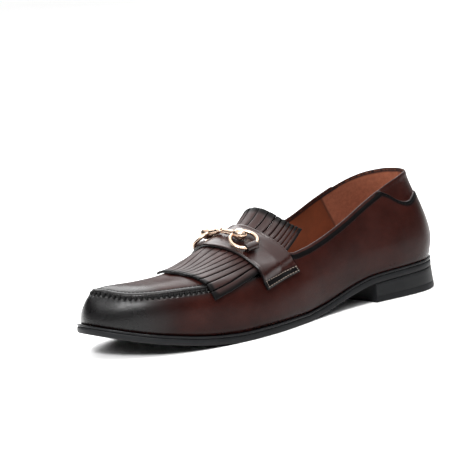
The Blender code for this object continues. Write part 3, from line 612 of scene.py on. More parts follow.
class Nodes:
    """Short ways to add shader nodes to a new material."""

    def __init__(self, name):
        self.material = bpy.data.materials.new(name)
        self.material.use_nodes = True
        self.tree = self.material.node_tree
        self.shader = self.tree.nodes["Principled BSDF"]

    def add(self, kind, inputs=None, **settings):
        node = self.tree.nodes.new(kind)
        for key, value in settings.items():
            setattr(node, key, value)
        for key, value in (inputs or {}).items():
            self.put(node.inputs[key], value)
        return node

    def put(self, socket, value):
        if isinstance(value, bpy.types.NodeSocket):
            self.tree.links.new(value, socket)
        else:
            socket.default_value = value

    def set(self, **inputs):
        for key, value in inputs.items():
            self.put(self.shader.inputs[key.replace("_", " ")], value)

    def math(self, operation, a, b=0.0, clamp=False):
        node = self.add("ShaderNodeMath", {0: a, 1: b}, operation=operation, use_clamp=clamp)
        return node.outputs[0]

    def times(self, a, b):
        return self.math("MULTIPLY", a, b)

    def between(self, value, low, high, to_low=0.0, to_high=1.0):
        """Soft step of a value from low to high."""
        inputs = {"Value": value, "From Min": low, "From Max": high, "To Min": to_low, "To Max": to_high}
        return self.add("ShaderNodeMapRange", inputs, interpolation_type="SMOOTHSTEP").outputs["Result"]

    def mixed(self, factor, a, b):
        node = self.add("ShaderNodeMix", data_type="RGBA")
        colour = [socket for socket in node.inputs if socket.type == "RGBA"]
        self.put(node.inputs[0], factor)
        for socket, value in zip(colour, (a, b)):
            self.put(socket, value if isinstance(value, bpy.types.NodeSocket) else (*value, 1.0))
        return [socket for socket in node.outputs if socket.type == "RGBA"][0]

    def cloudy(self, noise, low, high, a, b):
        """Colour that goes from a to b where the noise rises from low to high."""
        return self.mixed(self.between(noise, low, high), a, b)

    def place(self):
        return self.add("ShaderNodeTexCoord").outputs["Object"]

    def noise(self, scale, detail=2.0, roughness=0.5):
        inputs = {"Vector": self.place(), "Scale": scale, "Detail": detail, "Roughness": roughness}
        return self.add("ShaderNodeTexNoise", inputs).outputs["Fac"]

    def cells(self, scale):
        return self.add("ShaderNodeTexVoronoi", {"Vector": self.place(), "Scale": scale}).outputs["Distance"]

    def chart(self, name):
        values = self.add("ShaderNodeAttribute", attribute_name=name).outputs["Vector"]
        return self.add("ShaderNodeSeparateXYZ", {0: values}).outputs

    def bump(self, height, strength, distance, under=None):
        inputs = {"Height": height, "Strength": strength, "Distance": distance}
        if under is not None:
            inputs["Normal"] = under
        return self.add("ShaderNodeBump", inputs).outputs["Normal"]


def leather_grain(nodes, strength=0.6):
    """Fine pebble of smooth calf."""
    pebble = nodes.math("ADD", nodes.cells(1500.0), nodes.noise(2600.0))
    fine = nodes.bump(pebble, strength, 0.00012)
    return nodes.bump(nodes.noise(70.0), 0.12, 0.0008, fine)


def leather_colour(nodes, dark):
    """Hand-finished brown that goes to black where dark is 1, for burnish and for painted shade alike."""
    brown = nodes.cloudy(nodes.noise(38.0, 3.0, 0.6), 0.3, 0.75, BROWN, BROWN_LIGHT)
    uneven = nodes.times(nodes.math("SUBTRACT", nodes.noise(60.0, 3.0), 0.5), 0.35)
    edge = nodes.times(dark, nodes.math("SUBTRACT", 1.0, dark))
    share = nodes.math("ADD", dark, nodes.times(nodes.times(edge, 4.0), uneven), True)
    return nodes.mixed(share, brown, BLACK)


def upper_leather():
    """Brown calf with the burnish and the painted shade at the sole join from the shade chart, and black
    bands by the edges' own distances.
    """
    nodes = Nodes("calf_upper")
    shade = nodes.chart("shade")
    edges = nodes.chart("edges")
    above_band = nodes.between(edges[0], TOP_BAND - 0.6, TOP_BAND + 0.5, 1.0, 0.0)
    top_line = nodes.times(nodes.between(edges[0], 0.7, 1.3), above_band)
    top_line = nodes.times(top_line, nodes.between(edges[1], -0.4, 0.4, 1.0, 0.0))
    on_quarter = nodes.between(edges[1], 0.3, -0.3)
    scallop = nodes.times(nodes.between(edges[1], -4.6, -2.2), on_quarter)
    band = nodes.math("MAXIMUM", top_line, scallop)
    nodes.set(Base_Color=leather_colour(nodes, nodes.math("MAXIMUM", shade[0], band)))
    rough = nodes.between(nodes.noise(90.0), 0.25, 0.8, 0.28, 0.38)
    rough = nodes.math("ADD", rough, nodes.times(band, 0.2))
    rough = nodes.math("SUBTRACT", rough, nodes.times(shade[0], 0.05))
    nodes.set(Roughness=rough, Normal=leather_grain(nodes))
    polish = nodes.between(shade[0], 0.2, 1.0, 0.09, 0.22)
    nodes.set(Specular_IOR_Level=nodes.times(polish, nodes.between(band, 0.0, 1.0, 1.0, 0.3)))
    nodes.set(Coat_Weight=0.03, Coat_Roughness=0.22)
    return nodes.material


def piece_leather(name, grain=0.3, roughness=0.42, sheen=0.26):
    """Brown calf of the strap and tongue, black where the shade chart says."""
    nodes = Nodes(name)
    shade = nodes.chart("shade")
    nodes.set(Base_Color=leather_colour(nodes, shade[0]))
    rough = nodes.between(nodes.noise(90.0), 0.25, 0.8, roughness - 0.05, roughness + 0.05)
    nodes.set(Roughness=rough, Normal=leather_grain(nodes, grain))
    nodes.set(Specular_IOR_Level=nodes.between(shade[0], 0.3, 1.0, sheen, 0.25 * sheen))
    nodes.set(Coat_Weight=0.05, Coat_Roughness=0.25)
    return nodes.material


def lining_leather():
    """Tan lining, with a napped patch round the heel where the shade chart's second value is 1, brown where
    the first is, and blacker by the third: the patch's edge line and painted shade deep in the shoe.
    """
    nodes = Nodes("tan_lining_leather")
    shade = nodes.chart("shade")
    smooth_tan = nodes.cloudy(nodes.noise(45.0, 4.0, 0.65), 0.25, 0.8, dimmed(TAN, 0.62), TAN)
    nap = nodes.cloudy(nodes.noise(420.0, 4.0, 0.7), 0.25, 0.75, dimmed(TAN_SUEDE, 0.7), TAN_SUEDE)
    colour = nodes.mixed(shade[1], smooth_tan, nap)
    colour = nodes.mixed(shade[0], colour, BROWN)
    # The third value blackens the patch's edge line and paints the shade deep in the shoe.
    nodes.set(Base_Color=nodes.mixed(nodes.times(shade[2], 0.75), colour, BLACK))
    nodes.set(Roughness=nodes.between(shade[1], 0.0, 1.0, 0.6, 0.95))
    nodes.set(Normal=nodes.bump(nodes.noise(1400.0, 3.0), 0.3, 0.00015))
    return nodes.material


def black_dressing(name, cloud_scale, marked_roughness):
    """Satin black edge dressing, with another roughness where the shade chart's first value is 1."""
    nodes = Nodes(name)
    shade = nodes.chart("shade")
    clouds = nodes.noise(cloud_scale, 3.0)
    nodes.set(Base_Color=nodes.cloudy(clouds, 0.3, 0.7, dimmed(SOLE_BLACK, 0.8), SOLE_BLACK))
    nodes.set(Roughness=nodes.between(shade[0], 0.0, 1.0, 0.5, marked_roughness), Specular_IOR_Level=0.15)
    return nodes, shade


def sole_black():
    """Black edge dressing, glossy on the lip."""
    nodes, _ = black_dressing("black_edge_dressing", 70.0, 0.22)
    nodes.set(Normal=nodes.bump(nodes.noise(1500.0, 3.0), 0.22, 0.00012))
    return nodes.material


def heel_black():
    """Black heel block in pressed layers, with a rubber top piece."""
    nodes, shade = black_dressing("black_heel_block", 50.0, 0.6)
    layers = nodes.math("SINE", nodes.times(shade[1], 2.1))
    soft = nodes.bump(layers, 0.06, 0.0002)
    nodes.set(Normal=nodes.bump(nodes.noise(1700.0, 3.0), 0.3, 0.00012, soft))
    return nodes.material


def gold_metal():
    nodes = Nodes("rose_gold")
    wear = nodes.noise(160.0, 3.0)
    nodes.set(Base_Color=nodes.cloudy(wear, 0.3, 0.8, GOLD, dimmed(GOLD, 0.9)))
    nodes.set(Roughness=nodes.between(wear, 0.2, 0.8, 0.22, 0.32), Metallic=1.0)
    nodes.set(Normal=nodes.bump(nodes.noise(900.0), 0.05, 0.0001))
    return nodes.material


def thread(name, colour):
    nodes = Nodes(name)
    twist = nodes.noise(2600.0, 1.0)
    nodes.set(Base_Color=nodes.mixed(twist, dimmed(colour, 0.7), dimmed(colour, 1.3)))
    nodes.set(Normal=nodes.bump(twist, 0.4, 0.0001), Roughness=0.6, Specular_IOR_Level=0.1)
    return nodes.material


def upper_rows(sections, side):
    """Row values of the fine upper, close together beside the seam."""
    ends = rib_ends(sections, side)
    wall = np.linalg.norm(ends["seam"][0] - ends["foot"][0], axis=-1)[:, None]
    crown = np.linalg.norm(ends["top"][0] - ends["seam"][0], axis=-1)[:, None]
    below = np.array([-3.6, -2.8, -2.2, -1.7, -1.3, -0.9, -0.6, -0.3, 0.0])[None] / wall
    low = np.linspace(0, 1, 13)[None, :-1] * (1 + below[:, :1])
    above = np.array([0.3, 0.6, 0.9, 1.3, 1.8, 2.4, 3.0, 3.6, 4.1, 4.6, 5.0, 5.4, 6.0])[None] / crown
    spread = np.linspace(0, 1, 27)[None, 1:]
    high = above[:, -1:] + (1 - above[:, -1:]) * spread
    beside = np.array([1.3, 0.8, 0.45, 0.15, -0.15, -0.45, -0.8, -1.3])
    scallop = np.clip(collar_drop(sections), 1.6, 30.0)[:, None] + beside
    apart = np.linspace(0.15, 0.85, 8)[None]
    behind = (sections > 10.5)[:, None]
    extra = np.where(behind, 1 - scallop / crown, above[:, -1:] + (1 - above[:, -1:]) * apart)
    upper_part = np.sort(np.concatenate([above, high, extra], axis=1), axis=1)
    return np.concatenate([low, 1 + below, 1 + upper_part], axis=1)


def upper_surface():
    """Fine outer skin of the upper for both sides, with the distances that its marks follow."""
    sections = np.concatenate([
        np.arange(start, stop, step)
        for start, stop, step in (
            (0.0, 5.4, 0.03), (5.4, 7.0, 0.08), (7.0, 8.0, 0.04), (8.0, 11.0, 0.08), (11.0, 15.01, 0.04)
        )
    ])
    sections[-1] = LAST_SECTION
    sections = np.round(sections, 5)
    sides = {side: {"form": skin(sections, side, upper_rows(sections, side))} for side in (1, -1)}
    shape = sides[1]["form"].shape[:2]
    points = np.concatenate([data["form"].reshape(-1, 3) for data in sides.values()])
    faces = np.concatenate([quads_of(shape), quads_of(shape, shape[0] * shape[1])[:, ::-1]])
    normals = surface_normals(points, faces).reshape(2, *shape, 3)
    for side, out in ((1, normals[0]), (-1, normals[1])):
        data = sides[side]
        form = data["form"]
        data["normal"] = out
        total = run_along(form)
        data["inward"] = total - total[:, SEAM_ROW : SEAM_ROW + 1]
        data["foot_up"] = total
        data["below_top"] = total[:, -1:] - total
        data["along"] = run_along(form[None, :, SEAM_ROW])[0]
        drop = form[:, -1:, 2] - form[:, :, 2]
        data["scallop"] = np.where(sections[:, None] > 11.0, collar_drop(sections)[:, None] - drop, -9.0)
        height = roll_height(sections[:, None], data["inward"])
        wave = np.cos(2 * np.pi * data["along"] / PUCKER_PITCH)[:, None]
        near = np.exp(-(((data["inward"] + 0.9) / 1.2) ** 2)) * (data["inward"] < 1.2)
        height = height - PUCKER_HIGH * (1 + wave) * near * (1 - ease(sections, 5.0, 5.35))[:, None]
        height = height - COLLAR_STEP * ease(data["scallop"], -0.5, 0.5)
        bead = 0.35 * np.exp(-(((data["below_top"] - 1.2) / 0.9) ** 2)) * (sections > THROAT_SECTION)[:, None]
        data["outer"] = form + out * (height + bead)[..., None]
    return sections, sides


def upper_shade(sections, data):
    """How black the hand finish is at the toe and along the apron seam, with painted shade along the join
    with the sole.
    """
    x = data["form"][..., 0]
    inward = data["inward"]
    front = sections[:, None] < 6.5
    toe = ease(x, 236.0, 276.0) * np.where(inward > 0, 0.75 + 0.25 * ease(x, 250.0, 285.0), 1.0)
    plug = np.where(inward > 5.5, ease(x, 246.0, 268.0) * ease(20.0 - inward, -8.0, 12.0) * 0.9, toe)
    seam = 0.96 * np.exp(-((np.maximum(np.abs(inward - 1.2) - 2.6, 0) / 1.6) ** 2)) * front
    # Painted shade: the upper goes darker towards the sole, where it overhangs the sole edge.
    foot = 0.55 * np.exp(-((data["foot_up"] / 4.5) ** 2))
    return np.clip(np.max([plug, seam, foot], axis=0), 0, 1)


def lining_shade(sections, data):
    """First value 1 on the facing at the top edge, second value 1 on the napped heel patch, third value dark
    at its edge and as painted shade deeper in the shoe.
    """
    edge = 11.15 + 0.018 * data["below_top"]
    patch = ease(sections[:, None] - edge, -0.02, 0.02)
    line = np.exp(-(((sections[:, None] - edge) / 0.035) ** 2))
    # Painted shade: the lining darkens deeper inside the shoe.
    deep_shade = 0.3 * ease(data["below_top"], 14.0, 50.0)
    facing = 1 - ease(data["below_top"], 2.0, 2.7)
    return np.stack([facing, patch, np.maximum(line * 0.8, deep_shade)], axis=-1)


def top_rim(outer, under, edge, out, side):
    """Half round from the outer skin over the top edge to the lining."""
    up = unit(np.cross(out, np.gradient(edge, axis=0))) * side
    middle = (outer + under) / 2
    half = np.linalg.norm(outer - under, axis=-1)[:, None] / 2
    turns = np.radians(np.linspace(0, 180, 9))
    return np.stack([middle + half * (out * np.cos(t) + up * np.sin(t)) for t in turns], axis=1)


def make_upper(leather, lining):
    """Outer skin, rounded top edge and lining as one closed wall."""
    sections, sides = upper_surface()
    last_row = sides[1]["form"].shape[1] - 1
    inner_rows = np.concatenate([np.arange(0, last_row - 4, 2), np.arange(last_row - 4, last_row + 1)])
    throat = int(np.argmin(np.abs(sections - THROAT_SECTION)))
    points, faces, kinds, shades, edges = [], [], [], [], []
    start = 0
    for side, data in sides.items():
        shape = data["form"].shape[:2]
        under = data["form"] - data["normal"] * WALL
        under[:, 0, 2] = data["form"][:, 0, 2]
        inner = under[:, inner_rows]
        shade = np.zeros(shape + (3,))
        shade[..., 0] = upper_shade(sections, data)
        edge = np.stack([
            np.where(sections[:, None] > 7.2, data["below_top"], FAR_AWAY),
            np.where(sections[:, None] > 11.1, data["scallop"], -FAR_AWAY),
            data["foot_up"],
        ], axis=-1)
        top_grids = (data["outer"], under, data["form"], data["normal"])
        rim = top_rim(*(grid[throat:, -1] for grid in top_grids), side)
        rim_shade = np.zeros(rim.shape)
        rim_shade[..., 0] = 0.12
        lining_marks = lining_shade(sections, data)[:, inner_rows]
        sole_side = np.stack([data["outer"][:, 0], under[:, 0]], axis=1)
        parts = (
            (data["outer"], shade, edge, 0, False),
            (rim, rim_shade, np.full(rim.shape, FAR_AWAY), 0, False),
            (inner, lining_marks, np.full(inner.shape, FAR_AWAY), 1, True),
            (sole_side, np.zeros(sole_side.shape), np.full(sole_side.shape, FAR_AWAY), 0, True),
        )
        for grid, marks, lines, kind, turned in parts:
            quads = quads_of(grid.shape[:2], start)
            faces.append(quads[:, ::-1] if turned else quads)
            kinds.append(np.full(len(quads), kind))
            points.append(grid.reshape(-1, 3))
            shades.append(marks.reshape(-1, 3))
            edges.append(lines.reshape(-1, 3))
            start += grid.shape[0] * grid.shape[1]
    charts = {"shade": np.concatenate(shades), "edges": np.concatenate(edges)}
    add_piece("upper_shell", np.concatenate(points), np.concatenate(faces), [leather, lining],
              np.concatenate(kinds), charts, replaces=("upper",))
    return sections, sides


def on_upper(surface, side, at, distances, value, lift=0.0):
    """Point and normal of the upper at fractions of its sections where a distance has a value."""
    data = surface[1][side]
    low = np.clip(np.floor(at).astype(int), 0, len(surface[0]) - 2)
    f = (at - low)[:, None]
    line = data[distances][low] * (1 - f) + data[distances][low + 1] * f
    result = []
    for key in ("outer", "normal"):
        grid = data[key][low] * (1 - f[..., None]) + data[key][low + 1] * f[..., None]
        rows = []
        for i in range(len(at)):
            order = np.argsort(line[i])
            rows.append([np.interp(value[i], line[i][order], grid[i, order, axis]) for axis in range(3)])
        result.append(np.array(rows))
    return result[0] + unit(result[1]) * lift, unit(result[1])


def capsules(centres, ways, ups, long, radius):
    """Short rounded threads, one at each centre."""
    ways = unit(ways)
    sides = unit(np.cross(ways, unit(ups)))
    ups = np.cross(sides, ways) * THREAD_FLAT
    turns = np.arange(THREAD_SIDES) * 2 * np.pi / THREAD_SIDES
    arms = sides[:, None] * np.cos(turns)[:, None] + ups[:, None] * np.sin(turns)[:, None]
    share, wide = (column[:, None, None] for column in THREAD_RINGS.values())
    points = centres[:, None, None] + ways[:, None, None] * share * long / 2 + arms[:, None] * radius * wide
    levels = points.shape[1]
    total = levels * THREAD_SIDES
    ends = [list(range(THREAD_SIDES))[::-1], list(range(total - THREAD_SIDES, total))]
    body = tube_faces(levels, THREAD_SIDES) + ends
    starts = range(0, len(centres) * total, total)
    return points.reshape(-1, 3), [[corner + start for corner in face] for start in starts for face in body]


def add_threads(name, groups, material):
    """One piece from several groups of threads."""
    points, faces, start = [], [], 0
    for group in groups:
        more, quads = capsules(*group)
        faces += [[corner + start for corner in face] for face in quads]
        points.append(more)
        start += len(more)
    add_piece(name, np.concatenate(points), faces, [material])


def spaced(along, first, last, pitch):
    """Fractions of the section numbers at even steps of length along."""
    count = int((last - first) / pitch)
    lengths = first + pitch * np.arange(count + 1)
    return np.interp(lengths, along, np.arange(len(along))), lengths


def stitch_line(surface, side, at, distances, level, lift):
    """Places, ways and ups of stitches where a distance has one value."""
    last = len(surface[0]) - 1.001
    level = np.full(len(at), level)
    here, out = on_upper(surface, side, at, distances, level, lift)
    ahead, _ = on_upper(surface, side, np.minimum(at + 0.5, last), distances, level, lift)
    back, _ = on_upper(surface, side, np.maximum(at - 0.5, 0), distances, level, lift)
    return here, ahead - back, out


def make_upper_threads(surface, dark):
    """Pucker stitches over the apron seam, and the fine stitch lines of apron, top edge and scallop."""
    sections, sides = surface
    bold, fine = [], []
    for side in (1, -1):
        data = sides[side]
        along = data["along"]
        end = float(np.interp(PUCKERS_END, sections, along))
        first = 0.0 if side > 0 else PUCKER_PITCH
        at, _ = spaced(along, first, end, PUCKER_PITCH)
        outer, n0 = on_upper(surface, side, at, "inward", np.full(len(at), PUCKER_FROM_TO[0]), 0.05)
        inner, n1 = on_upper(surface, side, at, "inward", np.full(len(at), PUCKER_FROM_TO[1]), 0.0)
        bold.append(((outer + inner) / 2 + unit(n0 + n1) * 0.15, inner - outer, n0 + n1, *PUCKER_THREAD))
        at, _ = spaced(along, INNER_STITCH_PITCH / 2, end, INNER_STITCH_PITCH)
        fine.append((*stitch_line(surface, side, at, "inward", INNER_STITCH_AT, 0.12), *APRON_THREAD))
        top_run = run_along(data["outer"][None, :, -1])[0]
        begin, finish, scallop = (float(np.interp(at, sections, top_run)) for at in TOP_STITCH_SECTIONS)
        at, _ = spaced(top_run, begin, finish, TOP_STITCH_PITCH)
        fine.append((*stitch_line(surface, side, at, "below_top", TOP_BAND, 0.06), *EDGE_THREAD))
        at, _ = spaced(top_run, scallop, float(top_run[-1]) - STITCH_FREE_BACK, TOP_STITCH_PITCH)
        fine.append((*stitch_line(surface, side, at, "scallop", SCALLOP_STITCH_AT, 0.06), *EDGE_THREAD))
    add_threads("seam_threads", bold, dark)
    add_threads("line_threads", fine, dark)


def make_back_strip(surface, leather):
    """Narrow strip over the back seam, with rounded edges."""
    sections, sides = surface
    half = np.array([3.0, 4.6, 5.4, 5.75, STRIP_HALF])
    across = np.concatenate([-half[::-1], [0.0], half])
    drops = np.concatenate([[6.0, 6.15, 6.5, 7.2], np.linspace(9.0, 60.0, 40), [61.0, 61.6]])
    top = np.zeros((len(across), len(drops), 3))
    under = np.zeros_like(top)
    dark = np.zeros(top.shape[:2])
    for i, u in enumerate(across):
        side = 1 if u >= 0 else -1
        at_section = LAST_SECTION - abs(u) / STRIP_HALF * 0.28
        at = np.full(len(drops), np.interp(at_section, sections, np.arange(len(sections))))
        data = sides[side]
        data["drop"] = data["form"][:, -1:, 2] - data["form"][:, :, 2]
        here, out = on_upper(surface, side, np.minimum(at, len(sections) - 1.0001), "drop", drops)
        side_round = 0.45 * (1 - ease(STRIP_HALF - abs(u), 0.0, 0.9))
        rounding = side_round + 0.4 * (1 - ease(drops - drops[0], 0.0, 1.0))
        top[i] = here + out * (LAY_GAP + STRIP_THICK - rounding)[:, None]
        under[i] = here + out * 0.1
        dark[i] = 0.85 * (1 - ease(STRIP_HALF - abs(u), 0.4, 1.6))
    add_sheet("back_seam_strip", top, under, quads_of(top.shape[:2]), dark, leather, 50, "back_strip")


def across_faces(sections, start):
    """Faces that close a loop of full_loop from its outer side to its inner side."""
    count = len(sections)
    front, back = sections[0] == 0.0, sections[-1] == LAST_SECTION
    total = 2 * count - int(front) - int(back)
    faces, before = [], None
    for i in range(count):
        inner = (total - i) % total if front else total - 1 - i
        pair = (i, i if back and i == count - 1 else inner)
        if before:
            corners = [before[0], pair[0], pair[1], before[1]]
            corners = [corner for n, corner in enumerate(corners) if corner not in corners[:n]]
            faces.append([corner + start for corner in corners])
        before = pair
    return faces


def add_stacked(name, sections, loops, shades, material, sharp, replaced):
    """Body through level loops, with its ends closed by narrow strips from side to side."""
    count = len(loops[0])
    faces = tube_faces(len(loops), count)
    faces += [face[::-1] for face in across_faces(sections, 0)]
    faces += across_faces(sections, (len(loops) - 1) * count)
    add_piece(name, np.concatenate(loops), faces, [material],
              charts={"shade": np.concatenate(shades)}, sharp=sharp, replaces=(replaced,))


def make_sole(material):
    """Outsole with a soft lower edge, a groove and the glossy lip; a level is inset, height and gloss."""
    sections = np.round(np.arange(0.0, LAST_SECTION + 0.001, 0.05), 5)
    sections[-1] = LAST_SECTION
    groove = SOLE_THICK - LIP_HIGH
    levels = [
        (9.0, 0.0, 0.0), (2.2, 0.0, 0.0), (0.9, 0.02, 0.0), (0.4, 0.25, 0.0), (0.12, 0.7, 0.0),
        (0.0, 1.4, 0.0), (0.0, 2.6, 0.0), (0.05, 3.6, 0.0), (0.2, groove - 0.75, 0.1),
        (0.55, groove - 0.4, 0.1), (0.95, groove - 0.15, 0.1), (0.95, groove, 0.1),
        (0.45, groove + 0.12, 0.6), (0.12, groove + 0.3, 1.0), (0.0, groove + 0.6, 1.0),
        (0.0, groove + 0.95, 1.0), (0.15, SOLE_THICK - 0.2, 1.0),
        (0.45, SOLE_THICK - 0.04, 1.0), (0.9, SOLE_THICK, 0.8), (4.0, SOLE_THICK, 0.2),
    ]
    loops = [full_loop(sections, inset, up) for inset, up, _ in levels]
    shades = [np.tile([gloss, 0.0, 0.0], (len(loops[0]), 1)) for _, _, gloss in levels]
    add_stacked("sole_unit", sections, loops, shades, material, 55, "outsole")


def make_heel(material):
    """Heel block with a rubber top piece; a level is share of the height, inset, flare and rubber."""
    x = OUTLINE["x"]
    breast = round(float(np.interp(HEEL_LONG, x[::-1], np.arange(len(x))[::-1])), 5)
    between_ends = np.round(np.arange(math.ceil(breast * 20) / 20, LAST_SECTION, 0.05), 5)
    sections = np.concatenate([[breast], between_ends, [LAST_SECTION]])
    back = ease(sections, 12.0, 14.5)
    levels = [
        (0.0, 1.4, 1.0, 1.0), (0.0, 0.75, 1.0, 1.0), (0.03, 0.3, 1.0, 1.0), (0.08, 0.08, 1.0, 1.0),
        (0.3, 0.05, 0.72, 1.0), (0.325, 0.2, 0.7, 0.0), (0.35, 0.05, 0.68, 0.0), (0.6, 0.05, 0.38, 0.0),
        (0.85, 0.05, 0.14, 0.0), (0.95, 0.08, 0.05, 0.0), (1.0, 0.35, 0.0, 0.0),
    ]
    loops, shades = [], []
    for height, inset, flare, rubber in levels:
        loop = full_loop(sections, inset - HEEL_FLARE * flare * back, 0.0)
        loop[:, 2] = height * (loop[:, 2] - SEAT_GAP)
        loops.append(loop)
        shades.append(np.column_stack([np.full(len(loop), rubber), loop[:, 2], np.zeros(len(loop))]))
    add_stacked("heel_block", sections, loops, shades, material, 40, "heel")


def drawn_tight(y, z):
    """The points of an arch that leather drawn over it touches, from the inner side to the outer."""
    order = np.argsort(np.arctan2(y, z))
    kept = []
    for point in np.stack([y, z], axis=1)[order].tolist():
        while len(kept) > 1:
            ahead = (kept[-1][0] - kept[-2][0]) * (point[1] - kept[-1][1])
            across = (kept[-1][1] - kept[-2][1]) * (point[0] - kept[-1][0])
            if ahead - across < 0:
                break
            kept.pop()
        kept.append(point)
    return np.array(kept).T


def polar_radius(angles, y, z):
    """Distance from the axis, at each angle, of the straight-sided line through the points."""
    fine = np.linspace(0, 1, 9)[:-1]
    ys = (y[:-1, None] + np.diff(y)[:, None] * fine).ravel()
    zs = (z[:-1, None] + np.diff(z)[:, None] * fine).ravel()
    ys, zs = np.append(ys, y[-1]), np.append(zs, z[-1])
    return np.interp(angles, np.degrees(np.arctan2(ys, zs)), np.hypot(ys, zs))


def form_table():
    """Radius of the instep form round its axis, on a grid of x and angle."""
    sections = np.linspace(3.4, 9.7, 127)
    rows = np.linspace(0.25, 3.0, 111)
    xs = np.arange(128.0, 232.1, 1.0)
    angles = np.arange(-96.0, 96.1, 1.0)
    sides = []
    for side in (1, -1):
        points = skin(sections, side, rows)
        total = run_along(points)
        inward = total - total[:, np.searchsorted(rows, 1.0), None]
        sides.append((points[::-1], np.maximum(roll_height(sections[:, None], inward), 0)[::-1]))
    radius = np.zeros((len(xs), len(angles)))
    for i, x in enumerate(xs):
        y, z = [], []
        for points, relief in sides:
            for row in range(len(rows)):
                along = points[:, row, 0]
                arm_y = np.interp(x, along, points[:, row, 1]) - FORM_Y
                arm_z = np.interp(x, along, points[:, row, 2]) - FORM_Z
                grow = 1 + np.interp(x, along, relief[:, row]) / math.hypot(arm_y, arm_z)
                y.append(arm_y * grow)
                z.append(arm_z * grow)
        radius[i] = polar_radius(angles, *drawn_tight(np.array(y), np.array(z)))
    return xs, angles, radius


def between(table, x, degrees):
    """Radius of the form at x and angle, read between the grid's points."""
    xs, angles, radius = table
    i = np.clip((x - xs[0]) / (xs[1] - xs[0]), 0, len(xs) - 1.001)
    j = np.clip((degrees - angles[0]) / (angles[1] - angles[0]), 0, len(angles) - 1.001)
    a, b = np.floor(i).astype(int), np.floor(j).astype(int)
    f, g = i - a, j - b
    low = radius[a, b] * (1 - g) + radius[a, b + 1] * g
    high = radius[a + 1, b] * (1 - g) + radius[a + 1, b + 1] * g
    return low * (1 - f) + high * f


def form_point(table, x, degrees):
    r = between(table, x, degrees)
    turn = np.radians(degrees)
    return np.stack([x, FORM_Y + r * np.sin(turn), FORM_Z + r * np.cos(turn)], axis=-1)


def form_normal(table, x, degrees):
    ahead = form_point(table, x + 1.5, degrees) - form_point(table, x - 1.5, degrees)
    round_it = form_point(table, x, degrees + 1.5) - form_point(table, x, degrees - 1.5)
    return unit(np.cross(ahead, round_it))


def on_form(table, x, degrees, lift):
    """Point at a height above the instep form."""
    x, degrees = np.broadcast_arrays(np.asarray(x, float), np.asarray(degrees, float))
    lift = np.broadcast_to(lift, x.shape)[..., None]
    return form_point(table, x, degrees) + form_normal(table, x, degrees) * lift


def kiltie_edges(x):
    """Angles round the form of the tongue's outer and inner edge."""
    return [read(KILTIE, name, x) for name in ("outer_deg", "inner_deg")]


def strap_edges(degrees):
    """x of the strap's front and rear edge at an angle round the form."""
    front = read(STRAP, "front_x", np.abs(degrees) / STRAP_FRONT_DEG)
    return front, read(STRAP, "rear_x", np.abs(degrees) / STRAP_REAR_DEG)


def kiltie_degrees(across, x):
    outer, inner = kiltie_edges(x)
    return np.where(across > 0, across * outer, -across * inner)


def kiltie_lift(across, x, strip):
    """Height of the tongue's underside over the form, with each strip's own curl."""
    front, rear = strap_edges(kiltie_degrees(across, x))
    behind = np.clip((rear - x) / (STRAP["rear_x"][0] - KILTIE_REAR), 0, 2)
    ahead = np.clip((x - front) / (KILTIE_FRONT - front), 0, 1)
    own = 0.5 + 0.5 * np.sin(strip * 2.4 + 0.7)
    curl = 0.2 * own * ahead ** 2 + 0.5 * own * np.clip(behind, 0, 1) ** 2
    return LAY_GAP + REAR_LIFT * behind ** 1.4 * (1 - 0.6 * across ** 2) + curl


def strip_layout(table):
    """Places across the tongue, each with its strip and its share of the strip, and the slits after them."""
    half_slit = SLIT_WIDE / 2 / (math.radians(KILTIE_HALF_DEG) * UNDER_RADIUS)
    fine = np.linspace(-1, 1, 401)
    middle = np.full(len(fine), FRINGE_MIDDLE_X)
    length = run_along(on_form(table, middle, kiltie_degrees(fine, middle), LAY_GAP)[None])[0]
    cuts = np.interp(np.linspace(0, 1, STRIPS + 1), length / length[-1], fine)
    low = cuts[:-1] + half_slit * (np.arange(STRIPS) > 0)
    high = cuts[1:] - half_slit * (np.arange(STRIPS) < STRIPS - 1)
    shares = np.array([0.0, 0.03, 0.09, 0.22, 0.5, 0.78, 0.91, 0.97, 1.0])
    across = (low[:, None] + (high - low)[:, None] * shares).ravel()
    strip = np.repeat(np.arange(STRIPS), len(shares))
    side_share = np.tile(np.minimum(shares, 1 - shares), STRIPS)
    return across, strip, side_share, np.arange(1, STRIPS) * len(shares) - 1


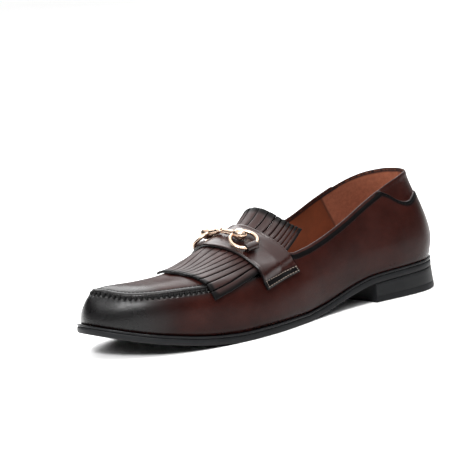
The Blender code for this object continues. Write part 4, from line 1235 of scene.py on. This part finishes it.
def make_kiltie(table, leather):
    """Tongue cut into strips at both ends, each strip rounded and black at its edges."""
    across, strip, side_share, slits = strip_layout(table)
    half_arc = math.radians(KILTIE_HALF_DEG) * TOP_RADIUS
    strip_wide = 2.0 / STRIPS * half_arc
    front = KILTIE_FRONT - FRONT_SWEEP * np.clip(-across, 0, 1) ** 1.5
    front = front + FRONT_BULGE * np.exp(-(((across - BULGE_AT) / BULGE_WIDE) ** 2))
    rear = KILTIE_REAR - REAR_SWEEP * across ** 2
    front_root = strap_edges(kiltie_degrees(across, STRAP_FRONT_NEAR))[0] - SLIT_UNDER
    rear_root = strap_edges(kiltie_degrees(across, STRAP_REAR_NEAR))[1] + SLIT_UNDER
    run = np.concatenate([[0.0, 0.006, 0.02], np.linspace(0.05, 1, 19)])
    lines = [front + (front_root - front) * share for share in run]
    lines += [front_root + (rear_root - front_root) * share for share in np.linspace(0, 1, 8)[1:]]
    lines += [rear_root + (rear - rear_root) * share for share in 1 - run[::-1][1:]]
    x = np.stack(lines, axis=1)
    wide = np.repeat(across[:, None], x.shape[1], axis=1)
    numbers = np.repeat(strip[:, None], x.shape[1], axis=1)
    in_front = len(run) - 1
    in_rear = in_front + 7
    fringe = np.ones(x.shape[1])
    fringe[in_front : in_rear + 1] = 0.0
    side_near = side_share[:, None] * strip_wide
    outermost = np.minimum(across + 1, 1 - across)[:, None] * half_arc
    front_near = np.abs(front[:, None] - x)
    rear_near = np.abs(x - rear[:, None])
    tip_near = np.minimum(front_near, rear_near)
    edge_near = np.where(fringe[None] > 0, np.minimum(side_near, tip_near), np.minimum(outermost, tip_near))
    top_drop = 0.5 * (1 - ease(edge_near, 0.0, 0.55)) - KILTIE_EDGE * (1 - ease(tip_near, 1.0, 9.0))
    dome = 0.16 * fringe[None] * (1 - (2 * side_share[:, None]) ** 2)
    lift = kiltie_lift(wide, x, numbers)
    degrees = kiltie_degrees(wide, x)
    top = on_form(table, x, degrees, lift + KILTIE_THICK - top_drop - dome)
    under = on_form(table, x, degrees, lift)
    keep = np.ones((len(across) - 1, x.shape[1] - 1), bool)
    keep[slits, :in_front] = False
    keep[slits, in_rear:] = False
    faces = quads_of(wide.shape).reshape(keep.shape + (4,))[keep]
    dark = 1 - ease(front_near, 2.0, 4.6)
    dark = np.maximum(dark, 1 - ease(rear_near, 2.0, 5.6))
    # Black edge paint along the tongue's outer sides, in a band wide enough to be painted shade as well where
    # the side curls down.
    dark = np.maximum(dark, 1 - ease(outermost, 1.6, 3.0))
    dark = np.maximum(dark, 0.8 * (1 - ease(edge_near, 0.25, 0.7)))
    add_sheet("kiltie", top, under, faces, dark, leather, 60, "kiltie_tongue", UNDERSIDE_SHADE)


def strap_place(share, back):
    """x and angle of the strap at share of the way to an end and back from its front edge."""
    front, rear = (read(STRAP, name, np.abs(share)) for name in ("front_x", "rear_x"))
    degrees = share * (STRAP_FRONT_DEG * (1 - back) + STRAP_REAR_DEG * back)
    return front * (1 - back) + rear * back, degrees


def strap_lift(x, degrees):
    """Height of the strap's underside: over the tongue, and down to the upper outside it."""
    outer, inner = kiltie_edges(x)
    beyond = np.where(degrees > 0, degrees - outer, inner - degrees)
    over = 2 * LAY_GAP + KILTIE_THICK
    return over - (over - LAY_GAP) * ease(beyond, 3.5, 12.5)


def strap_top(table, share, back, extra):
    """Point at a height over the strap's upper face."""
    x, degrees = strap_place(share, back)
    return on_form(table, x, degrees, strap_lift(x, degrees) + STRAP_THICK + extra)


def strap_stitches(table, share, back, along, across, lift):
    """Places, ways and ups of stitches on the strap, turned to a small step along and across it."""
    centre = strap_top(table, share, back, lift)
    ahead = strap_top(table, share + along, back + across, lift)
    return centre, ahead - centre, strap_top(table, share, back, 1.0) - centre


def make_strap(table, leather, grey_thread):
    """Strap with folded long edges and a black stitched band at either end."""
    fine = np.array([0.0, 0.002, 0.006, 0.012, 0.02, 0.03, 0.045, 0.06, 0.08, 0.1])
    shares = np.concatenate([fine / 2, np.linspace(0.06, 0.94, 90), 1 - fine[::-1] / 2]) * 2 - 1
    backs = np.concatenate([fine * 0.9, np.linspace(0.11, 0.89, 18), 1 - fine[::-1] * 0.9])
    share, back = np.meshgrid(shares, backs, indexing="ij")
    x, degrees = strap_place(share, back)
    width = STRAP_WIDE + STRAP_WIDER * np.abs(share)
    edge = np.minimum(back, 1 - back) * width
    end = (1 - np.abs(share)) * STRAP_HALF_LONG
    near = np.minimum(edge, end)
    fold = 0.16 * np.exp(-(((edge - 1.5) / 0.8) ** 2)) - 0.1 * np.exp(-(((edge - 2.7) / 0.5) ** 2))
    band = 0.18 * (1 - ease(end, STRAP_BAND - 0.2, STRAP_BAND + 0.2))
    height = strap_lift(x, degrees) + STRAP_THICK - 0.75 * (1 - ease(near, 0.0, 0.8)) + fold - band
    top = on_form(table, x, degrees, height)
    under = on_form(table, x, degrees, strap_lift(x, degrees))
    dark = np.maximum(1 - ease(end, STRAP_BAND - 0.6, STRAP_BAND + 0.5), 0.85 * (1 - ease(edge, 0.3, 1.1)))
    add_sheet("strap", top, under, quads_of(share.shape), dark, leather, 60, "saddle_strap", UNDERSIDE_SHADE)
    groups = []
    for side in (1, -1):
        for from_end in (STRAP_BAND - 1.1, 1.3):
            backs = np.linspace(0.05, 0.95, 13)
            share = np.full(len(backs), side * (1 - from_end / STRAP_HALF_LONG))
            groups.append((*strap_stitches(table, share, backs, 0.0, 0.01, -0.02), *STRAP_THREAD))
        for back in (0.045, 0.955):
            share = side * (1 - np.array([2.6, 4.0]) / STRAP_HALF_LONG)
            backs = np.full(len(share), back)
            groups.append((*strap_stitches(table, share, backs, side * 0.004, 0.0, -0.1), *STRAP_SIDE_THREAD))
    add_threads("strap_threads", groups, grey_thread)


def ring_frame(table, side):
    """Middle of a ring, and its ways: towards the toe, down to the strap's end, and outward."""
    x, degrees = np.array(RING_X), np.array(RING_DEG * side)
    centre = on_form(table, x, degrees, 2 * LAY_GAP + KILTIE_THICK + STRAP_THICK + RING_CLEAR)
    normal = form_normal(table, x, degrees)
    ahead = unit(form_point(table, x + 1.0, degrees) - form_point(table, x - 1.0, degrees))
    fall = unit(np.cross(ahead, normal)) * -side
    turn = np.radians(RING_TILT)
    out = normal * np.cos(turn) + fall * np.sin(turn)
    return centre, ahead, fall * np.cos(turn) - normal * np.sin(turn), out


def torus(centre, first, second, radius, wire, around, about):
    """Points and faces of a ring in the plane of two ways."""
    third = np.cross(first, second)
    turns = np.arange(around) * 2 * np.pi / around
    circle = np.arange(about) * 2 * np.pi / about
    ways = first * np.cos(turns)[:, None] + second * np.sin(turns)[:, None]
    arms = ways[:, None] * (radius + wire * np.cos(circle))[None, :, None]
    points = centre + arms + third * (wire * np.sin(circle))[None, :, None]
    number = np.arange(around * about).reshape(around, about)
    ahead, beside = np.roll(number, -1, axis=0), np.roll(number, -1, axis=1)
    faces = np.stack([number, ahead, np.roll(ahead, -1, axis=1), beside], axis=-1).reshape(-1, 4)
    return points.reshape(-1, 3), faces.tolist()


def make_bit(table, metal):
    """Two rings, and two turned bars whose eyes interlock at the middle."""
    middle = on_form(table, RING_X + 1.0, 1.0, 2 * LAY_GAP + KILTIE_THICK + STRAP_THICK + BAR_LIFT)
    shares = np.linspace(0, BAR["share"][-1], 60)
    radii = np.maximum(read(BAR, "radius", shares), 0.05)
    for side, word in SIDES:
        centre, ahead, down, out = ring_frame(table, side)
        points, faces = torus(centre, down, ahead, RING_RADIUS, RING_WIRE, *RING_STEPS)
        add_piece("ring_" + word, points, faces, [metal], replaces=("bit_ring_" + word,))
        egg = centre - down * EGG_IN + out * EGG_OUT
        level = np.array([0.0, float(side), 0.0])
        axis = unit(egg - middle)
        eye = middle + level * (EYE_RADIUS / 2)
        start = middle + axis * (1.5 * EYE_RADIUS)
        reach = np.linalg.norm(egg - start) / EGG_SHARE
        across = np.array([1.0, 0.0, 0.0])
        first = unit(np.cross(axis, across))
        second = np.cross(axis, first)
        turns = np.arange(BAR_SIDES) * 2 * np.pi / BAR_SIDES
        arms = first * np.cos(turns)[:, None] + second * np.sin(turns)[:, None]
        body = start + axis * (shares * reach)[:, None, None] + arms[None] * radii[:, None, None]
        count = len(shares) * BAR_SIDES
        quads = tube_faces(len(shares), BAR_SIDES)
        quads += [list(range(BAR_SIDES))[::-1], list(range(count - BAR_SIDES, count))]
        upright = np.array([0.0, 0.0, 1.0]) if side > 0 else across
        eye_points, eye_faces = torus(eye, level, upright, EYE_RADIUS, EYE_WIRE, *EYE_STEPS)
        quads += [[corner + count for corner in face] for face in eye_faces]
        add_piece("bar_" + word, np.concatenate([body.reshape(-1, 3), eye_points]), quads, [metal],
                  sharp=50, replaces=("bit_bar_" + word,))


def make_ring_loops(table, leather):
    """Leather loop round the far side of each ring."""
    for side, word in SIDES:
        centre, ahead, down, out = ring_frame(table, side)
        half = (RING_RADIUS - math.sqrt(RING_RADIUS ** 2 - (LOOP_WIDE / 2) ** 2)) / 2
        hold = centre + down * (RING_RADIUS - half)
        turns = np.radians(np.concatenate([np.linspace(-90, 90, 17), np.linspace(90, 270, 17)]))
        shift = np.where(np.arange(34) < 17, half, -half)
        widths = np.array([-1.0, -0.985, -0.94, -0.86, 0.86, 0.94, 0.985, 1.0]) * LOOP_WIDE / 2
        sink = np.array([0.35, 0.16, 0.05, 0.0, 0.0, 0.05, 0.16, 0.35])
        sheets = []
        for radius, soft in ((RING_WIRE + LOOP_GAP + LOOP_THICK, sink), (RING_WIRE + LOOP_GAP, 0 * sink)):
            r = radius - soft[:, None]
            a = shift[None] + r * np.cos(turns)[None]
            b = r * np.sin(turns)[None]
            sheets.append(hold + ahead * widths[:, None, None] + down * a[..., None] + out * b[..., None])
        closed = [np.concatenate([sheet, sheet[:, :1]], axis=1) for sheet in sheets]
        edge = np.repeat(np.abs(widths)[:, None], closed[0].shape[1], axis=1)
        dark = 0.9 * ease(edge, LOOP_WIDE / 2 - 0.9, LOOP_WIDE / 2 - 0.2)
        faces = quads_of(closed[0].shape[:2])
        add_sheet("keeper_" + word, closed[0], closed[1], faces, dark, leather, 60, "ring_loop_" + word)


def add_area(name, place, aim, size, power, colour=(1.0, 1.0, 1.0)):
    """Soft box at a place in metres, turned to a point."""
    light = bpy.data.lights.new(name, "AREA")
    light.shape = "RECTANGLE"
    light.size, light.size_y = size
    light.energy = power
    light.color = colour
    lamp = put_in_scene(name, light)
    lamp.location = place.tolist()
    way = Vector((np.array(aim) - place).tolist())
    lamp.rotation_euler = way.to_track_quat("-Z", "Y").to_euler()


def view_ways():
    """The camera's ways: to the right of the picture, up it, and back from the shoe."""
    turn, rise, roll = (math.radians(value) for value in (VIEW_TURN, VIEW_RISE, VIEW_ROLL))
    back = np.array([math.sin(turn) * math.cos(rise), math.cos(turn) * math.cos(rise), math.sin(rise)])
    right = np.array([-math.cos(turn), math.sin(turn), 0.0])
    down = np.array([math.sin(turn) * math.sin(rise), math.cos(turn) * math.sin(rise), -math.cos(rise)])
    tilted_right = right * math.cos(roll) + down * math.sin(roll)
    tilted_down = down * math.cos(roll) - right * math.sin(roll)
    return tilted_right, -tilted_down, back


def add_camera():
    right, up, back = view_ways()
    target = (np.array(LOOK_AT) - (BASE_CENTRE[0], BASE_CENTRE[1], 0.0)) * MM
    place = target + back * VIEW_FAR * MM
    data = bpy.data.cameras.new("photo_camera")
    data.sensor_width = SENSOR
    data.lens = PIXELS_PER_MM * VIEW_FAR * SENSOR / IMAGE_SIZE
    data.shift_x = -(LOOK_AT_PIXEL[0] - IMAGE_SIZE / 2) / IMAGE_SIZE
    data.shift_y = (LOOK_AT_PIXEL[1] - IMAGE_SIZE / 2) / IMAGE_SIZE
    data.clip_start, data.clip_end = 0.05, 60.0
    camera = put_in_scene("photo_camera", data)
    turn = Matrix([[right[i], up[i], back[i]] for i in range(3)]).to_4x4()
    turn.translation = place.tolist()
    camera.matrix_world = turn
    bpy.context.scene.camera = camera


def add_studio():
    """Pale floor, even light from above, soft boxes above, near and behind, and two small ones."""
    mesh = bpy.data.meshes.new("floor")
    corners = [(x * FLOOR_HALF, y * FLOOR_HALF, 0) for x, y in ((-1, -1), (1, -1), (1, 1), (-1, 1))]
    mesh.from_pydata(corners, [], [(0, 1, 2, 3)])
    nodes = Nodes("pale_floor")
    nodes.set(Base_Color=nodes.cloudy(nodes.noise(1.5), 0.3, 0.7, (0.90,) * 3, (0.93,) * 3), Roughness=0.6)
    mesh.materials.append(nodes.material)
    floor = put_in_scene("floor", mesh)
    world = bpy.data.worlds.new("studio")
    world.use_nodes = True
    tree = world.node_tree
    ways = tree.nodes.new("ShaderNodeSeparateXYZ")
    tree.links.new(tree.nodes.new("ShaderNodeTexCoord").outputs["Generated"], ways.inputs[0])
    rise = tree.nodes.new("ShaderNodeMapRange")
    rise.interpolation_type = "SMOOTHSTEP"
    for key, value in GLOW.items():
        rise.inputs[key].default_value = value
    tree.links.new(ways.outputs["Z"], rise.inputs["Value"])
    tree.links.new(rise.outputs["Result"], tree.nodes["Background"].inputs["Strength"])
    bpy.context.scene.world = world
    bpy.context.scene.view_settings.view_transform = "Standard"
    _, _, back = view_ways()
    near = unit(np.array([back[0], back[1], 0.0]))
    left = np.array([near[1], -near[0], 0.0])
    up = np.array([0.0, 0.0, 1.0])
    add_area("top_box", up * 1.35 - near * 0.35, (0, 0, 0.03), (1.1, 1.1), 3.5)
    add_area("near_box", near + left * 0.9 + up * 0.95, (0.05, 0, 0.03), (0.7, 0.7), 3.5)
    add_area("back_box", up * 1.35 - near * 2.0, near * -1.1, (3.2, 1.6), 60.0)
    sun = bpy.data.lights.new("even_light", "SUN")
    sun.energy = EVEN_STRENGTH
    sun.angle = math.radians(EVEN_SPREAD)
    put_in_scene("even_light", sun)
    add_area("key_box", np.array(KEY_PLACE), (0.08, 0.02, 0.03), (0.18, 0.18), KEY_POWER, KEY_COLOUR)
    add_area("toe_box", np.array(TOE_LIGHT_PLACE), (0.12, 0.02, 0.03), (0.28, 0.18), TOE_LIGHT_POWER)


def main():
    add_camera()
    strap_leather = piece_leather("calf_strap", 0.22, 0.32, 0.4)
    lining = lining_leather()
    surface = make_upper(upper_leather(), lining)
    make_upper_threads(surface, thread("black_thread", THREAD_BLACK))
    make_back_strip(surface, piece_leather("calf_strip"))
    make_sole(sole_black())
    make_heel(heel_black())
    table = form_table()
    make_kiltie(table, piece_leather("calf_fringe", 0.35, 0.5))
    make_strap(table, strap_leather, thread("grey_thread", THREAD_GREY))
    make_bit(table, gold_metal())
    make_ring_loops(table, strap_leather)
    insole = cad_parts["insole"]
    insole.data.materials.clear()
    insole.data.materials.append(lining)
    add_studio()


main()
